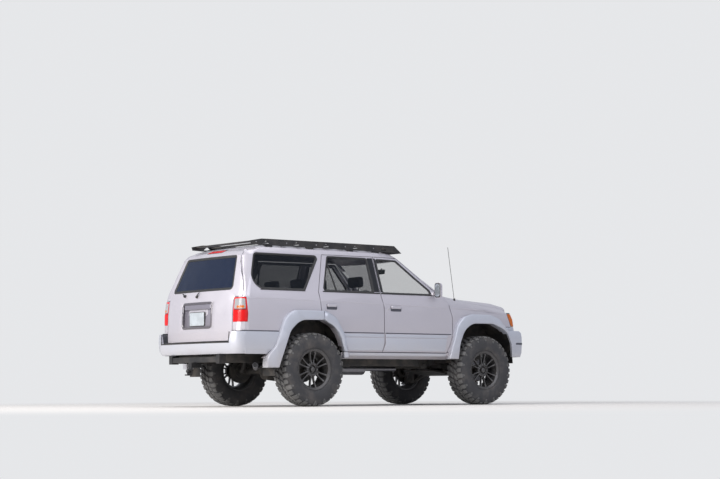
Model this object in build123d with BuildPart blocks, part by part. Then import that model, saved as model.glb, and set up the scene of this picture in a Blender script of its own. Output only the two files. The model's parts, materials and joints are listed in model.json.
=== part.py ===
import os
from functools import cache
from math import cos, pi, sin

from build123d import *

# A lifted five-door off-road 4x4 on a ladder frame, with mud tyres, arch flares and a flat roof rack.
# Millimetres. +X is forward, +Y is the car's left, +Z is up, and the ground is Z = 0.
# Body heights are measured up from the sill's underside, and lengths forward from the rear axle.

# Driving sizes
wheelbase = 2675
front_overhang = 840
rear_overhang = 1140
hitch_reach = 55
tyre_radius = 430
tyre_width = 287
rim_radius = 222
rim_width = 236
rim_lip_radius = 243
rim_mouth = 209
wheel_track = 1544
sill_over_hub = 130
kingpin_track = 1440
lug_height = 14
lug_count = 28
spoke_count = 6
panel_gap = 8
lip_depth = 10
lip_inset = 14
wall_depth = 40
door_depth = 72
glass_depth = 5
glass_inset = 8

# Body heights above the sill's underside
door_foot = 84
seam_height = 310
crease_height = 672
belt_height = 782
glass_top = 1215
header_height = 1238
roof_height = 1330

# Places that follow from them
overall_length = front_overhang + wheelbase + rear_overhang + hitch_reach
rear_axle_x = -overall_length / 2 + rear_overhang + hitch_reach
sill_z = tyre_radius + sill_over_hub
wheel_y = wheel_track / 2
kingpin_y = kingpin_track / 2
hub_height = -sill_over_hub
far = 3000

# Body surface: plan outlines at body heights, with lengths forward of the rear axle
columns = ("height", "half", "waist_x", "front_x", "front_mid", "rear_x", "rear_mid", "front_round",
           "rear_round")
tub_taper, house_taper, bumper_taper = 0.138, 0.17, 0.22
tub_levels = (
    (0, 800, 2700, 3250, 3350, -960, -1000, 70, 110),
    (34, 846, 2700, 3265, 3370, -975, -1030, 70, 110),
    (door_foot, 858, 2700, 3280, 3390, -985, -1045, 70, 110),
    (seam_height - 14, 861, 2700, 3330, 3420, -990, -1065, 70, 110),
    (seam_height, 848, 2700, 3330, 3420, -990, -1065, 70, 110),
    (520, 850, 2650, 3290, 3385, -985, -1060, 70, 100),
    (crease_height, 846, 2600, 3200, 3330, -968, -1045, 80, 100),
    (belt_height, 828, 2500, 3050, 3210, -950, -1008, 90, 100),
)
nose_levels = ((880, 800, 2500, 2980, 3130, -920, -960, 90, 100),)
house_levels = (
    (belt_height, 828, 1900, 2085, 2270, -950, -1008, 90, 100),
    (1000, 752, 1500, 1790, 1950, -878, -932, 80, 100),
    (1190, 685, 1250, 1545, 1690, -815, -862, 75, 95),
    (header_height, 668, 1200, 1478, 1612, -768, -813, 70, 90),
    (header_height + 48, 640, 1150, 1390, 1500, -664, -706, 70, 90),
    (header_height + 76, 580, 1100, 1290, 1380, -560, -596, 70, 90),
    (roof_height + 6, 420, 1050, 1130, 1200, -420, -445, 70, 90),
)

# Bonnet surface: at each length, the body heights of the shoulder, the knee above it and the crown
crown_stations = [(1950, 786, 822, 880), (2500, 702, 754, 802), (2800, 652, 734, 784),
                  (3000, 622, 722, 768), (3200, 598, 682, 732), (3300, 566, 640, 690), (3500, 480, 520, 560)]
shoulder_y, knee_y = 762, 640
shoulder_drop = 95

# Side-view lines of the doors and windows, each from its top rear corner round
rear_door_line = [(275, 1230), (1041, 1236), (1041, belt_height), (1083, 616), (1083, 180), (1040, door_foot),
                  (340, door_foot), (152, 300), (152, 470), (145, 565), (113, belt_height)]
front_door_line = [(1049, 1236), (1458, 1236), (1888, 872), (2062, belt_height - 12), (2112, 690),
                   (2172, 520), (2174, 330), (2128, 197), (2068, door_foot), (1048, door_foot),
                   (1091, 180), (1091, 616), (1049, belt_height)]
rear_window_line = [(348, glass_top), (952, glass_top), (952, 795), (185, 795)]
front_window_line = [(1082, 1210), (1432, 1206), (1850, 848), (1850, 790), (1082, 790)]
quarter_window_line = [(-712, glass_top), (212, glass_top), (-88, 796), (-866, 796)]
quarter_rounds = (55, 30, 30, 140)

# Gate, lamps and windscreen: widths or lengths, with body heights
gate_flank = [(-1400, 702), (-955, 702), (-811, 1262), (-716, 1262), (-716, 1400), (-1400, 1400)]
gate_middle = [(720, 700), (600, 1190), (545, 1310)]
gate_low = [(682, 196), (682, 720)]
gate_window = [(622, 792), (515, 1186)]
lamp_line = [(-1300, 409), (-912, 409), (-905, 500), (-922, 694), (-1300, 694)]
lamp_inner_y = 690
screen_line = [(690, 815), (572, 1218)]
screen_frame = [(735, 740), (735, 800), (604, 1262)]

# Arches: the wheel openings and the flares' outer edges, as lengths and body heights
front_arch = [(2232, -60), (2275, 200), (2350, 368), (2480, 453), (2830, 456), (3050, 375), (3165, 205),
              (3192, -60)]
front_flare = [(2092, 8), (2240, 440), (2330, 530), (2470, 568), (2780, 566), (2940, 515), (3110, 352),
               (2600, 0)]
rear_arch = [(-505, -120), (-330, 325), (-190, 446), (150, 450), (330, 365), (425, 190), (455, -60)]
rear_flare = [(-672, -110), (-672, 12), (-545, 140), (-470, 320), (-420, 455), (-300, 556), (190, 556),
              (335, 480), (462, 280), (516, 8), (0, 0), (-500, -110)]
arch_round, flare_round, well_margin = 240, 165, 45

# Straight steps that stand for the body's bows and corner rounds
bow_steps, corner_steps, longest_corner = 8, 3, 400
same_place, same_plane = 1e-4, 1e-7
bumper_end = [(-1300, -20), (-668, -20), (-668, 10), (-541, 138), (-466, 311), (-1300, 311)]


def along(distance):
    """The X of a place forward of the rear axle."""
    return rear_axle_x + distance


def up(height):
    """The Z of a body height."""
    return sill_z + height


def placed(points):
    """Side-view points, as lengths and body heights, in the part's own frame."""
    return [(along(x), up(z)) for x, z in points]


def save(shape, name):
    shape.label = name
    export_step(shape, os.path.join("parts", name + ".step"))


def as_level(row):
    level = dict(zip(columns, row))
    for name in ("waist_x", "front_x", "front_mid", "rear_x", "rear_mid"):
        level[name] = along(level[name])
    return level


def plan_outline(level, inset, taper):
    """A level's closed plan outline, drawn in by inset: bowed ends, straight flanks, rounded corners."""
    half, waist_x = level["half"] - inset, level["waist_x"]
    front_x, front_mid = level["front_x"] - inset, level["front_mid"] - inset
    nose_half = half - taper * (front_x - waist_x)
    rear_x, rear_mid = level["rear_x"] + inset, level["rear_mid"] + inset
    with BuildSketch(Plane.XY.offset(up(level["height"]))) as outline:
        with BuildLine():
            Line((rear_x, half), (waist_x, half))
            Line((waist_x, half), (front_x, nose_half))
            ThreePointArc((front_x, nose_half), (front_mid, 0), (front_x, -nose_half))
            Line((front_x, -nose_half), (waist_x, -half))
            Line((waist_x, -half), (rear_x, -half))
            ThreePointArc((rear_x, -half), (rear_mid, 0), (rear_x, half))
        make_face()
        ends = outline.vertices().sort_by(Axis.X)
        fillet(ends[:2], max(level["rear_round"] - inset, 15))
        ends = outline.vertices().sort_by(Axis.X)
        fillet(ends[-2:], max(level["front_round"] - inset, 15))
    return outline.sketch.face().outer_wire()


def ring_of(outline):
    """Points in order round an outline from its foremost edge, with its arcs as a few straight steps."""
    edges = outline.order_edges()
    first = edges.index(max(edges, key=lambda edge: edge.center().X))
    edges = edges[first:] + edges[:first]
    ring = []
    for edge, following in zip(edges, edges[1:] + edges[:1]):
        bowed = edge.length > longest_corner
        steps = 1 if edge.geom_type == GeomType.LINE else (bow_steps if bowed else corner_steps)
        places = [edge @ (step / steps) for step in range(steps + 1)]
        if min((places[-1] - following @ end).length for end in (0, 1)) > same_place:
            places.reverse()
        ring += places[:-1]
    return ring


def flats(a, b, c, d):
    """One flat face through four corners, or two where they share no plane, alike left and right."""
    if abs((b - a).cross(d - a).normalized().dot(c - a)) < same_plane:
        split = ((a, b, c, d),)
    elif a.Y + b.Y + c.Y + d.Y < 0:
        split = ((a, b, d), (b, c, d))
    else:
        split = ((a, b, c), (a, c, d))
    return [Face(Wire.make_polygon(corners)) for corners in split]


def solid_in(skin):
    """The solid inside closed flat faces, whichever way these were drawn."""
    solid = Solid(Shell(skin))
    return solid if solid.volume > 0 else Solid(Shell([-face for face in skin]))


@cache
def envelope(rows, inset, taper):
    """The solid inside the body's surface, skinned over one table's plan outlines."""
    rings = [ring_of(plan_outline(as_level(row), inset, taper)) for row in rows]
    skin = [Face(Wire.make_polygon(ring)) for ring in (rings[0], rings[-1])]
    for low, high in zip(rings, rings[1:]):
        for corners in zip(low, low[1:] + low[:1], high[1:] + high[:1], high):
            skin += flats(*corners)
    return solid_in(skin)


def meet(first, *others):
    """What the first solid shares with all the others."""
    with BuildPart() as common:
        add(first)
        for other in others:
            add(other, mode=Mode.INTERSECT)
    return common.part


def less(first, *others):
    """The first solid with the others cut away."""
    with BuildPart() as rest:
        add(first)
        for other in others:
            add(other, mode=Mode.SUBTRACT)
    return rest.part


def joined(*solids):
    with BuildPart() as whole:
        for solid in solids:
            add(solid)
    return whole.part


def both_sides(solid):
    with BuildPart() as pair:
        add(solid)
        mirror(solid, about=Plane.XZ)
    return pair.part


def shell(rows, outer, inner, taper):
    """A wall that follows the body's surface between two depths under it, also overhead."""
    roof_depth = inner if rows[-1][0] > belt_height else 0
    under_roof = box_at((-1400, 4000), (-far, far), (-100, rows[-1][0] - roof_depth))
    return less(envelope(rows, outer, taper), meet(envelope(rows, inner, taper), under_roof))


def tub_shell(outer, inner):
    return shell(tub_levels, outer, inner, tub_taper)


def house_shell(outer, inner):
    return shell(house_levels, outer, inner, house_taper)


@cache
def crowned(inset):
    """The solid under the bonnet's crowned surface, lofted through its sections."""
    side, low = 1000, up(-200)
    foot = shoulder_drop * (side - shoulder_y) / 90
    with BuildPart() as under:
        for x, *heights in crown_stations:
            z, knee, top = [up(height - inset) for height in heights]
            with BuildSketch(Plane.YZ.offset(along(x))):
                with BuildLine():
                    Polyline((knee_y, knee), (shoulder_y, z), (side, z - foot), (side, low), (-side, low),
                             (-side, z - foot), (-shoulder_y, z), (-knee_y, knee))
                    ThreePointArc((-knee_y, knee), (0, top), (knee_y, knee))
                make_face()
        loft(ruled=True)
    return under.part


def side_shape(points, rounds=0, grow=0):
    """A side-view polygon with its corners rounded, alike or each by its own radius, grown all round."""
    radii = rounds if isinstance(rounds, tuple) else (rounds,) * len(points)
    with BuildSketch() as shape:
        Polygon(*placed(points), align=None)
        for (x, z), radius in zip(placed(points), radii):
            if radius:
                fillet(shape.vertices().sort_by_distance((x, z, 0))[0], radius)
        if grow:
            offset(amount=grow, kind=Kind.INTERSECTION)
    return shape.sketch


def side_prism(points, rounds=0, grow=0, inner=0, outer=far):
    """A left-hand prism over a side-view polygon."""
    with BuildPart() as prism:
        with BuildSketch(Plane.XZ.offset(-inner)):
            add(side_shape(points, rounds, grow))
        extrude(amount=-(outer - inner))
    return prism.part


def inner_rounds(points, radius, square_ends=1):
    """A radius for each point of a line, none for those at its ends."""
    return (0,) + (radius,) * (len(points) - 1 - square_ends) + (0,) * square_ends


def cross_prism(points, x_from, x_to, rounds=0, grow=0):
    """A prism along the car over a polygon of widths and body heights, the same on both sides."""
    with BuildPart() as prism:
        with BuildSketch(Plane.YZ.offset(along(x_from))) as profile:
            both = [(y, up(z)) for y, z in points] + [(-y, up(z)) for y, z in reversed(points)]
            Polygon(*both, align=None)
            if rounds:
                fillet(profile.vertices(), rounds)
            if grow:
                offset(amount=grow, kind=Kind.INTERSECTION)
        extrude(amount=x_to - x_from)
    return prism.part


def box_at(x_span, y_span, z_span):
    """A box from its lengths, widths and body heights."""
    with BuildPart() as block:
        with Locations((along(sum(x_span) / 2), sum(y_span) / 2, up(sum(z_span) / 2))):
            Box(x_span[1] - x_span[0], y_span[1] - y_span[0], z_span[1] - z_span[0])
    return block.part


# Walls of the body: the side panels, the doors' outer and inner layers, and the glass
body_wall = joined(tub_shell(0, wall_depth), house_shell(0, wall_depth))
door_skin = joined(tub_shell(0, lip_depth), house_shell(0, lip_depth))
door_core = joined(tub_shell(lip_depth, door_depth), house_shell(lip_depth, wall_depth))
glass_wall = house_shell(glass_inset, glass_inset + glass_depth)
tub_block = envelope(tub_levels, 0, tub_taper)
house_block = envelope(house_levels, 0, house_taper)

rear_arch_rounds = inner_rounds(rear_arch, arch_round)
front_arch_rounds = inner_rounds(front_arch, arch_round)
arch_hole = side_prism(rear_arch, rear_arch_rounds, outer=1000)
gate_hole = joined(side_prism(gate_flank, grow=panel_gap / 2), cross_prism(gate_middle, -1400, -716),
                   cross_prism(gate_low, -1400, -850, grow=panel_gap / 2))
side_left = less(
    meet(body_wall, box_at((-1100, 2104), (600, 900), (0, 1300))),
    side_prism(rear_door_line, grow=panel_gap), side_prism(front_door_line, grow=panel_gap),
    side_prism(quarter_window_line, quarter_rounds), arch_hole, gate_hole,
    side_prism(lamp_line, inner=lamp_inner_y), side_prism(bumper_end, inner=600, outer=900),
    cross_prism(screen_frame, 1250, 2500), box_at((2040, 2200), (500, 900), (door_foot, 1000)))
save(both_sides(side_left), "body_sides")

roof_line = box_at((-716 + panel_gap / 2, 1800), (-600, 600), (1150, 1400))
roof_panel = less(meet(house_shell(0, wall_depth), roof_line), cross_prism(screen_line, 1250, 2500),
                  both_sides(side_prism(front_door_line, grow=panel_gap)))
save(roof_panel, "roof_panel")

# Doors, each a skin with a narrower core so that its edges clear the opening as it swings
door_rows = [("front", front_door_line, front_window_line), ("rear", rear_door_line, rear_window_line)]
window_round = 30
flare_reach = 900
flare_seat = 800
flare_chamfer = 14


def flare_band(outer_line, square_ends, arch_line, arch_rounds):
    """The moulding round a wheel arch, seated on the body's side and chamfered along its face."""
    with BuildPart() as band:
        with BuildSketch(Plane.XZ.offset(-flare_seat)):
            add(side_shape(outer_line, inner_rounds(outer_line, flare_round, square_ends)))
            add(side_shape(arch_line, arch_rounds), mode=Mode.SUBTRACT)
        extrude(amount=-(flare_reach - flare_seat))
        face = band.faces().sort_by(Axis.Y)[-1]
        chamfer(face.outer_wire().edges(), flare_chamfer)
        add(tub_block, mode=Mode.SUBTRACT)
    return band.part


rear_flare_left = flare_band(rear_flare, 3, rear_arch, rear_arch_rounds)
front_flare_left = flare_band(front_flare, 2, front_arch, front_arch_rounds)
rear_door_hole = side_prism(rear_door_line, grow=panel_gap)
save(both_sides(joined(less(rear_flare_left, rear_door_hole), front_flare_left)), "arch_flares")

mirror_sections = [(1866, 932, 848, 112, 188, 30), (1898, 930, 846, 106, 178, 36),
                   (1920, 922, 842, 70, 128, 34)]
with BuildPart() as mirror_head:
    for x, y, height, width, tall, corner in mirror_sections:
        with BuildSketch(Plane.YZ.offset(along(x))):
            with Locations((y, up(height))):
                RectangleRounded(width, tall, corner)
    loft(ruled=True)
door_mirror = joined(mirror_head.part, box_at((1868, 1912), (760, 890), (790, 830)))

for row, line, window in door_rows:
    opening = side_prism(window, rounds=window_round)
    door = joined(meet(door_skin, side_prism(line)), meet(door_core, side_prism(line, grow=-lip_inset)))
    door = less(door, opening, arch_hole)
    if row == "rear":
        door = joined(door, meet(rear_flare_left, side_prism(line)))
    else:
        door = joined(door, less(door_mirror, tub_block, house_block))
    pane = meet(glass_wall, opening)
    save(door, row + "_door_left")
    save(mirror(door, about=Plane.XZ), row + "_door_right")
    save(pane, row + "_door_glass_left")
    save(mirror(pane, about=Plane.XZ), row + "_door_glass_right")

# Tailgate, hinged along the roof's rear edge, with its window and a recess for a plate
gate_depth = 58
gate_shell = joined(tub_shell(0, gate_depth), house_shell(0, wall_depth))
gate_area = joined(both_sides(side_prism(gate_flank, grow=-panel_gap / 2)),
                   cross_prism(gate_middle, -1400, -724, grow=-panel_gap),
                   cross_prism(gate_low, -1400, -900, grow=-panel_gap / 2))
recess_depth, recess_round = 26, 35
recess = less(cross_prism([(300, 362), (300, 643)], -1400, -800, rounds=recess_round),
              envelope(tub_levels, recess_depth, tub_taper))
rear_opening = cross_prism(gate_window, -1400, -760, rounds=35)
tailgate = less(meet(gate_shell, gate_area), recess, rear_opening)
save(tailgate, "tailgate")
save(meet(glass_wall, rear_opening), "tailgate_glass")

# Nose: wings joined by the scuttle, the bonnet, and the openings for lamps and grille
nose_rows = tub_levels + nose_levels


@cache
def nose_block(inset):
    nose_room = box_at((2000, 3600), (-far, far), (-50, 900))
    return meet(envelope(nose_rows, inset, tub_taper), crowned(inset), nose_room)


def bonnet_prism(grow):
    """The bonnet's outline seen from above, moved out by grow, as a tall prism."""
    rear_corner, front_corner = (along(2170 - grow), 712 + grow), (along(3205 + grow), 690 + grow)
    with BuildPart() as prism:
        with BuildSketch(Plane.XY.offset(up(560))):
            with BuildLine():
                Line(front_corner, rear_corner)
                ThreePointArc(rear_corner, (along(2345 - grow), 0), (rear_corner[0], -rear_corner[1]))
                Line((rear_corner[0], -rear_corner[1]), (front_corner[0], -front_corner[1]))
                ThreePointArc((front_corner[0], -front_corner[1]), (along(3345 + grow), 0), front_corner)
            make_face()
        extrude(amount=400)
    return prism.part


nose_shell = less(nose_block(0), nose_block(30))
bonnet = meet(nose_shell, bonnet_prism(0))
save(bonnet, "bonnet")

nose_front = both_sides(side_prism([(3158, 604), (3238, 418), (3700, 418), (3700, 800), (3158, 800)]))
low_front = box_at((3050, 3600), (-far, far), (-60, 425))
door_line = both_sides(side_prism(front_door_line, grow=panel_gap))
wings = less(nose_shell, bonnet_prism(panel_gap), house_block, door_line,
             both_sides(side_prism(front_arch, front_arch_rounds)), low_front, nose_front,
             box_at((1990, 2104), (-far, far), (-60, door_foot + panel_gap)),
             box_at((2000, 2300), (-far, far), (-60, 4)))
save(wings, "wings")

# Running gear
hub_z = tyre_radius
ring_sides, shaft_sides, tube_sides = 28, 16, 12


def faceted_ring(profile, sides):
    """A ring with flat sides about a wheel's axle, from a closed profile of widths and corner radii."""
    step, skin = 2 * pi / sides, []
    for index in range(sides):
        low, high = (index - 0.5) * step, (index + 0.5) * step
        for (y, radius), (next_y, next_radius) in zip(profile, profile[1:] + profile[:1]):
            corners = ((y, radius, low), (y, radius, high), (next_y, next_radius, high),
                       (next_y, next_radius, low))
            places = [(r * sin(turn), at, r * cos(turn)) for at, r, turn in corners]
            skin.append(Face(Wire.make_polygon(places)))
    return solid_in(skin)


# A tyre stands on the XZ plane with its axle along Y, its outer side toward +Y
carcass_radius = tyre_radius - lug_height
tread_y, lip_y, lip_width = 128, rim_width / 2, 12
bead_y = lip_y - lip_width
bead_play = 1.6
half_profile = [(bead_y - bead_play, rim_radius + bead_play), (lip_y - bead_play, rim_lip_radius + bead_play),
                (tyre_width / 2, rim_radius + 84), (tread_y, carcass_radius - 4)]
tyre_profile = half_profile + [(-y, radius) for y, radius in half_profile[::-1]]
lug_length, lug_reach, lug_sink, lug_taper, lug_sweep = 54, 92, 20, 16, 8
lug_edge_y = tread_y - 2
with BuildPart() as lug:
    with BuildSketch(Plane.XY.offset(carcass_radius - lug_sink)):
        Polygon((-lug_length / 2, lug_edge_y), (lug_length / 2, lug_edge_y),
                (lug_length / 2 - lug_taper, lug_edge_y - lug_reach),
                (-lug_length / 2 - lug_sweep, lug_edge_y - lug_reach), align=None)
    extrude(amount=lug_sink + lug_height)
lug_pitch = 360 / lug_count
far_lug = mirror(lug.part, about=Plane.XZ)
with BuildPart() as tyre:
    add(faceted_ring(tyre_profile, ring_sides))
    add([lug.part.rotate(Axis.Y, index * lug_pitch) for index in range(lug_count)]
        + [far_lug.rotate(Axis.Y, (index + 0.5) * lug_pitch) for index in range(lug_count)])

# A wheel: a drop-centre barrel with flared lips, a hub ring and paired spokes
hub_face, hub_depth, hub_radius, bore_radius = 84, 36, 84, 54
well_radius, well_wall, lip_face = 196, 9, 10
barrel_profile = [(-lip_y, rim_lip_radius), (-bead_y, rim_radius), (-60, rim_radius), (-30, well_radius),
                  (60, well_radius), (84, rim_radius), (bead_y, rim_radius), (lip_y, rim_lip_radius),
                  (lip_y, rim_lip_radius - lip_face), (lip_y - 12, rim_mouth), (84, rim_mouth - 3),
                  (60, well_radius - well_wall), (-30, well_radius - well_wall), (-lip_y, rim_radius - 8)]
spoke_foot, spoke_head, pair_angle = 62, 213, 11
spoke_half, spoke_tip_half, spoke_set_back, spoke_depth = 11, 9, 8, 22
spoke = Polygon((-spoke_half, spoke_foot), (-spoke_tip_half, spoke_head), (spoke_tip_half, spoke_head),
                (spoke_half, spoke_foot), align=None)
spoke_turns = [360 / spoke_count * index + turn for index in range(spoke_count)
               for turn in (-pair_angle, pair_angle)]
with BuildPart() as wheel:
    add(faceted_ring(barrel_profile, ring_sides))
    with BuildSketch(Plane.XZ.offset(-hub_face + hub_depth)):
        RegularPolygon(hub_radius, 24)
    extrude(amount=-hub_depth)
    with BuildSketch(Plane.XZ.offset(-hub_face + spoke_set_back)):
        add([spoke.rotate(Axis.Z, turn) for turn in spoke_turns])
    extrude(amount=spoke_depth)
    with BuildSketch(Plane.XZ.offset(-hub_face)):
        RegularPolygon(bore_radius, 24)
    extrude(amount=hub_depth + 1, mode=Mode.SUBTRACT)


def at_wheel(shape, axle, side):
    """A wheel's piece, moved to an axle's length and to the left (1) or right (-1)."""
    turned = shape if side > 0 else shape.rotate(Axis.Z, 180)
    return turned.moved(Location((along(axle), side * wheel_y, hub_z)))


for row, axle in (("front", wheelbase), ("rear", 0)):
    for label, side in (("left", 1), ("right", -1)):
        save(at_wheel(tyre.part, axle, side), "tyre_" + row + "_" + label)
        save(at_wheel(wheel.part, axle, side), "wheel_" + row + "_" + label)

# Lamps, fixed glass and grille, cut from the same walls as the panels round them
tail_lamp = less(meet(tub_shell(0, 30), side_prism(lamp_line, inner=lamp_inner_y + 2, grow=-2)), gate_hole)
save(both_sides(tail_lamp), "tail_lamps")
quarter_glass = meet(glass_wall, side_prism(quarter_window_line, quarter_rounds, inner=500))
windscreen = meet(glass_wall, cross_prism(screen_line, 1250, 2500))
fixed_glass = joined(both_sides(quarter_glass), windscreen)
save(fixed_glass, "fixed_glass")

nose_wall = less(nose_block(0), nose_block(34))
lamp_top, lamp_foot, grille_foot = 598, 424, 376
lamp_inner, grille_half = 405, 392
front_gap = box_at((2900, 3700), (-far, far), (lamp_foot, lamp_top))
lamp_cut = side_prism([(3165, 598), (3242, lamp_foot), (3700, lamp_foot), (3700, 700), (3165, 700)],
                      inner=lamp_inner)
front_lamp = less(meet(nose_wall, lamp_cut, front_gap), bonnet_prism(panel_gap))
save(both_sides(front_lamp), "front_lamps")
with BuildPart() as slots:
    for row in range(4):
        for side in (-1, 1):
            add(box_at((3000, 3700), (min(side * 22, side * 360), max(side * 22, side * 360)),
                       (grille_foot + 34 + row * 42, grille_foot + 60 + row * 42)))
grille_area = box_at((3100, 3700), (-grille_half, grille_half), (grille_foot, 612))
grille_wall = less(tub_block, envelope(tub_levels, 34, tub_taper))
grille = less(meet(grille_wall, grille_area, crowned(0)), bonnet_prism(panel_gap), slots.part)
save(grille, "grille")

# Bumpers
front_bumper_levels = (
    (40, 852, 3120, 3392, 3490, 2000, 1985, 60, 20),
    (96, 862, 3120, 3412, 3506, 2000, 1985, 60, 20),
    (209, 866, 3120, 3420, 3515, 2000, 1985, 60, 20),
    (300, 864, 3120, 3418, 3512, 2000, 1985, 60, 20),
    (350, 860, 3120, 3406, 3498, 2000, 1985, 60, 20),
    (374, 846, 3120, 3382, 3474, 2000, 1985, 60, 20),
)
rear_bumper_levels = (
    (49, 838, 2000, 2600, 2610, -1035, -1090, 30, 120),
    (100, 862, 2000, 2600, 2610, -1058, -1125, 30, 130),
    (200, 868, 2000, 2600, 2610, -1068, -1138, 30, 130),
    (302, 866, 2000, 2600, 2610, -1060, -1128, 30, 130),
)
bumper_depth = 30
bumper_rear_line = [(3198, 0), (3170, 209), (3094, 346), (3180, 378), (3180, 400), (3700, 400), (3700, 0)]
front_block = envelope(front_bumper_levels, 0, bumper_taper)
front_core = envelope(front_bumper_levels, bumper_depth, bumper_taper)
mouth = cross_prism([(430, 108), (390, 178)], 3200, 3700)
fog_places = both_sides(box_at((3200, 3700), (510, 650), (112, 176)))
front_bumper = less(meet(less(front_block, front_core), both_sides(side_prism(bumper_rear_line))),
                    mouth, fog_places, both_sides(front_flare_left))
top_ledge = less(meet(front_core, box_at((3260, 3600), (-far, far), (344, 373))), tub_block)
front_bumper = joined(front_bumper, top_ledge)
save(front_bumper, "front_bumper")

rear_core = envelope(rear_bumper_levels, bumper_depth, 0)
rear_skin = less(envelope(rear_bumper_levels, 0, 0), rear_core)
step_notch = cross_prism([(712, 186), (712, 190), (770, 320)], -1400, -900)
rear_bumper = less(meet(rear_skin, both_sides(side_prism(bumper_end))), step_notch,
                   both_sides(rear_flare_left))
step = less(meet(rear_core, box_at((-1200, -1000), (-715, 715), (150, 185))), tub_block)
rear_bumper = joined(rear_bumper, step)
save(rear_bumper, "rear_bumper")

# Floor, bulkhead and tail sill; the wheelhouses stand on it
floor_top, floor_thick, boot_floor = 60, 24, 215
floor = joined(
    box_at((560, 2040), (-752, 752), (floor_top - floor_thick, floor_top)),
    box_at((536, 560), (-745, 745), (floor_top - floor_thick, boot_floor)),
    box_at((-915, 560), (-550, 550), (boot_floor - floor_thick, boot_floor)),
    box_at((-915, -560), (-745, 745), (boot_floor - floor_thick, boot_floor)),
    box_at((2016, 2040), (-738, 738), (floor_top - floor_thick, 744)),
    box_at((-960, -936), (-660, 660), (60, boot_floor - floor_thick)),
    box_at((-960, -915), (-660, 660), (boot_floor - floor_thick - 24, boot_floor - floor_thick)))
save(floor, "floor_and_bulkhead")


def wheelhouse(arch_line, arch_rounds, inner, outer, wall):
    """A liner a margin round a wheel opening, closed on its inner side."""
    return less(side_prism(arch_line, arch_rounds, well_margin + wall, inner, outer),
                side_prism(arch_line, arch_rounds, well_margin, inner + wall, outer + 1))


liners = joined(wheelhouse(front_arch, front_arch_rounds, 430, 800, 6),
                wheelhouse(rear_arch, rear_arch_rounds, 552, 744, 6))
liners = less(liners, box_at((1900, 3400), (0, 480), (-80, 130)))
liners = meet(liners, box_at((-700, 3300), (0, 900), (-40, 700)))
flap = joined(box_at((-570, -564), (662, 886), (-204, -110)), box_at((-570, -564), (662, 798), (-110, 10)))
liners = less(joined(liners, flap), wings, front_bumper, rear_flare_left, floor, side_left)

# Ladder frame: two swept rails, narrowed beside the front wheels and raised over the rear axle
rail_height, rail_web = 100, 70
rail_path = [(-1000, 500, 0), (-470, 500, 0), (-300, 500, 118), (270, 500, 118), (520, 500, -32),
             (760, 535, -32), (1850, 535, -32),
             (2140, 365, -32), (2330, 360, 10), (3180, 360, 10)]


def tube(points, radius):
    """A round tube through points given as lengths, widths and body heights, with bent corners."""
    path = [Vector(along(x), y, up(z)) for x, y, z in points]
    with BuildPart() as pipe:
        with BuildLine() as line:
            FilletPolyline(*path, radius=radius * 2.2) if len(path) > 2 else Line(*path)
        with BuildSketch(Plane(origin=line.line @ 0, z_dir=line.line % 0)):
            RegularPolygon(radius, tube_sides)
        sweep(path=line.line)
    return pipe.part


def rail(side):
    with BuildPart() as beam:
        for start, end in zip(rail_path, rail_path[1:]):
            sections = []
            for x, y, z in (start, end):
                with BuildSketch(Plane.YZ.offset(along(x))) as section:
                    with Locations((side * y, up(z))):
                        Rectangle(rail_web, rail_height)
                sections.append(section.sketch)
            loft(sections, ruled=True)
    return beam.part


cross_members = [(-980, 40, 0, 70), (-480, 50, 0, 60), (600, 60, -30, 60), (1250, 110, -60, 40),
                 (1990, 90, -78, 50), (2450, 110, -70, 60), (3110, 60, 30, 60)]
lower_pivot_z, lower_pivot_y, lower_spread = -130, 340, 190
with BuildPart() as frame:
    for side in (-1, 1):
        add(rail(side))
    for x in (wheelbase - lower_spread + 31, wheelbase + lower_spread - 31):
        add(both_sides(box_at((x - 36, x + 36), (lower_pivot_y - 14, lower_pivot_y + 22),
                              (lower_pivot_z - 30, 0))))
    for x, width, z, height in cross_members:
        reach = 365 if x > 2100 else 500
        add(box_at((x - width / 2, x + width / 2), (-reach, reach), (z - height / 2, z + height / 2)))
save(frame.part, "frame")

# Axles, springs and arms
brake_inner_y = 606


def turned_at(x, z, steps):
    """A turned piece on a cross-wise axle, from its stations' widths and radii."""
    with BuildPart() as shaft:
        for y_from, y_to, radius in steps:
            with BuildSketch(Plane.XZ.offset(-y_from)):
                with Locations((along(x), up(z))):
                    RegularPolygon(radius, shaft_sides)
            extrude(amount=-(y_to - y_from))
    return shaft.part


diff_outline = [(-128, 0), (-128, 52), (-84, 112), (60, 128), (150, 74), (225, 46), (225, 0)]
with BuildPart() as diff:
    with BuildSketch(Plane.XZ):
        Polygon(*[(along(x), hub_z + radius) for x, radius in diff_outline], align=None)
    revolve(axis=Axis((0, 0, hub_z), (1, 0, 0)))
axle_steps = [(-brake_inner_y, brake_inner_y, 42)]
end_steps = [(600, 612, 92), (612, 664, 150), (664, 812, 34)]
spring_seat = box_at((-45, 45), (395, 470), (hub_height + 30, hub_height + 75))
axle_end = turned_at(0, hub_height, end_steps)
rear_axle = joined(turned_at(0, hub_height, axle_steps), diff.part, both_sides(axle_end),
                   both_sides(spring_seat))
save(rear_axle, "rear_axle")

rear_links = both_sides(joined(
    tube([(60, 560, hub_height - 20), (900, 470, -60)], 22),
    box_at((30, 90), (530, 590), (hub_height - 52, hub_height + 12)),
    tube([(-110, 430, hub_height - 30), (-40, 380, 170)], 27)))
spring_y, spring_radius, spring_foot, spring_top = 432, 58, hub_height + 75, 66
with BuildPart() as coils:
    with BuildSketch(Plane.XY.offset(up(spring_foot))):
        with Locations((along(0), spring_y)):
            RegularPolygon(spring_radius, shaft_sides)
    extrude(amount=spring_top - spring_foot)
rear_suspension = less(joined(rear_links, both_sides(coils.part)), frame.part, rear_axle)
save(rear_suspension, "rear_suspension")

ball_reach = 142
arm_thick, pivot_drop = 24, 250


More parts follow.
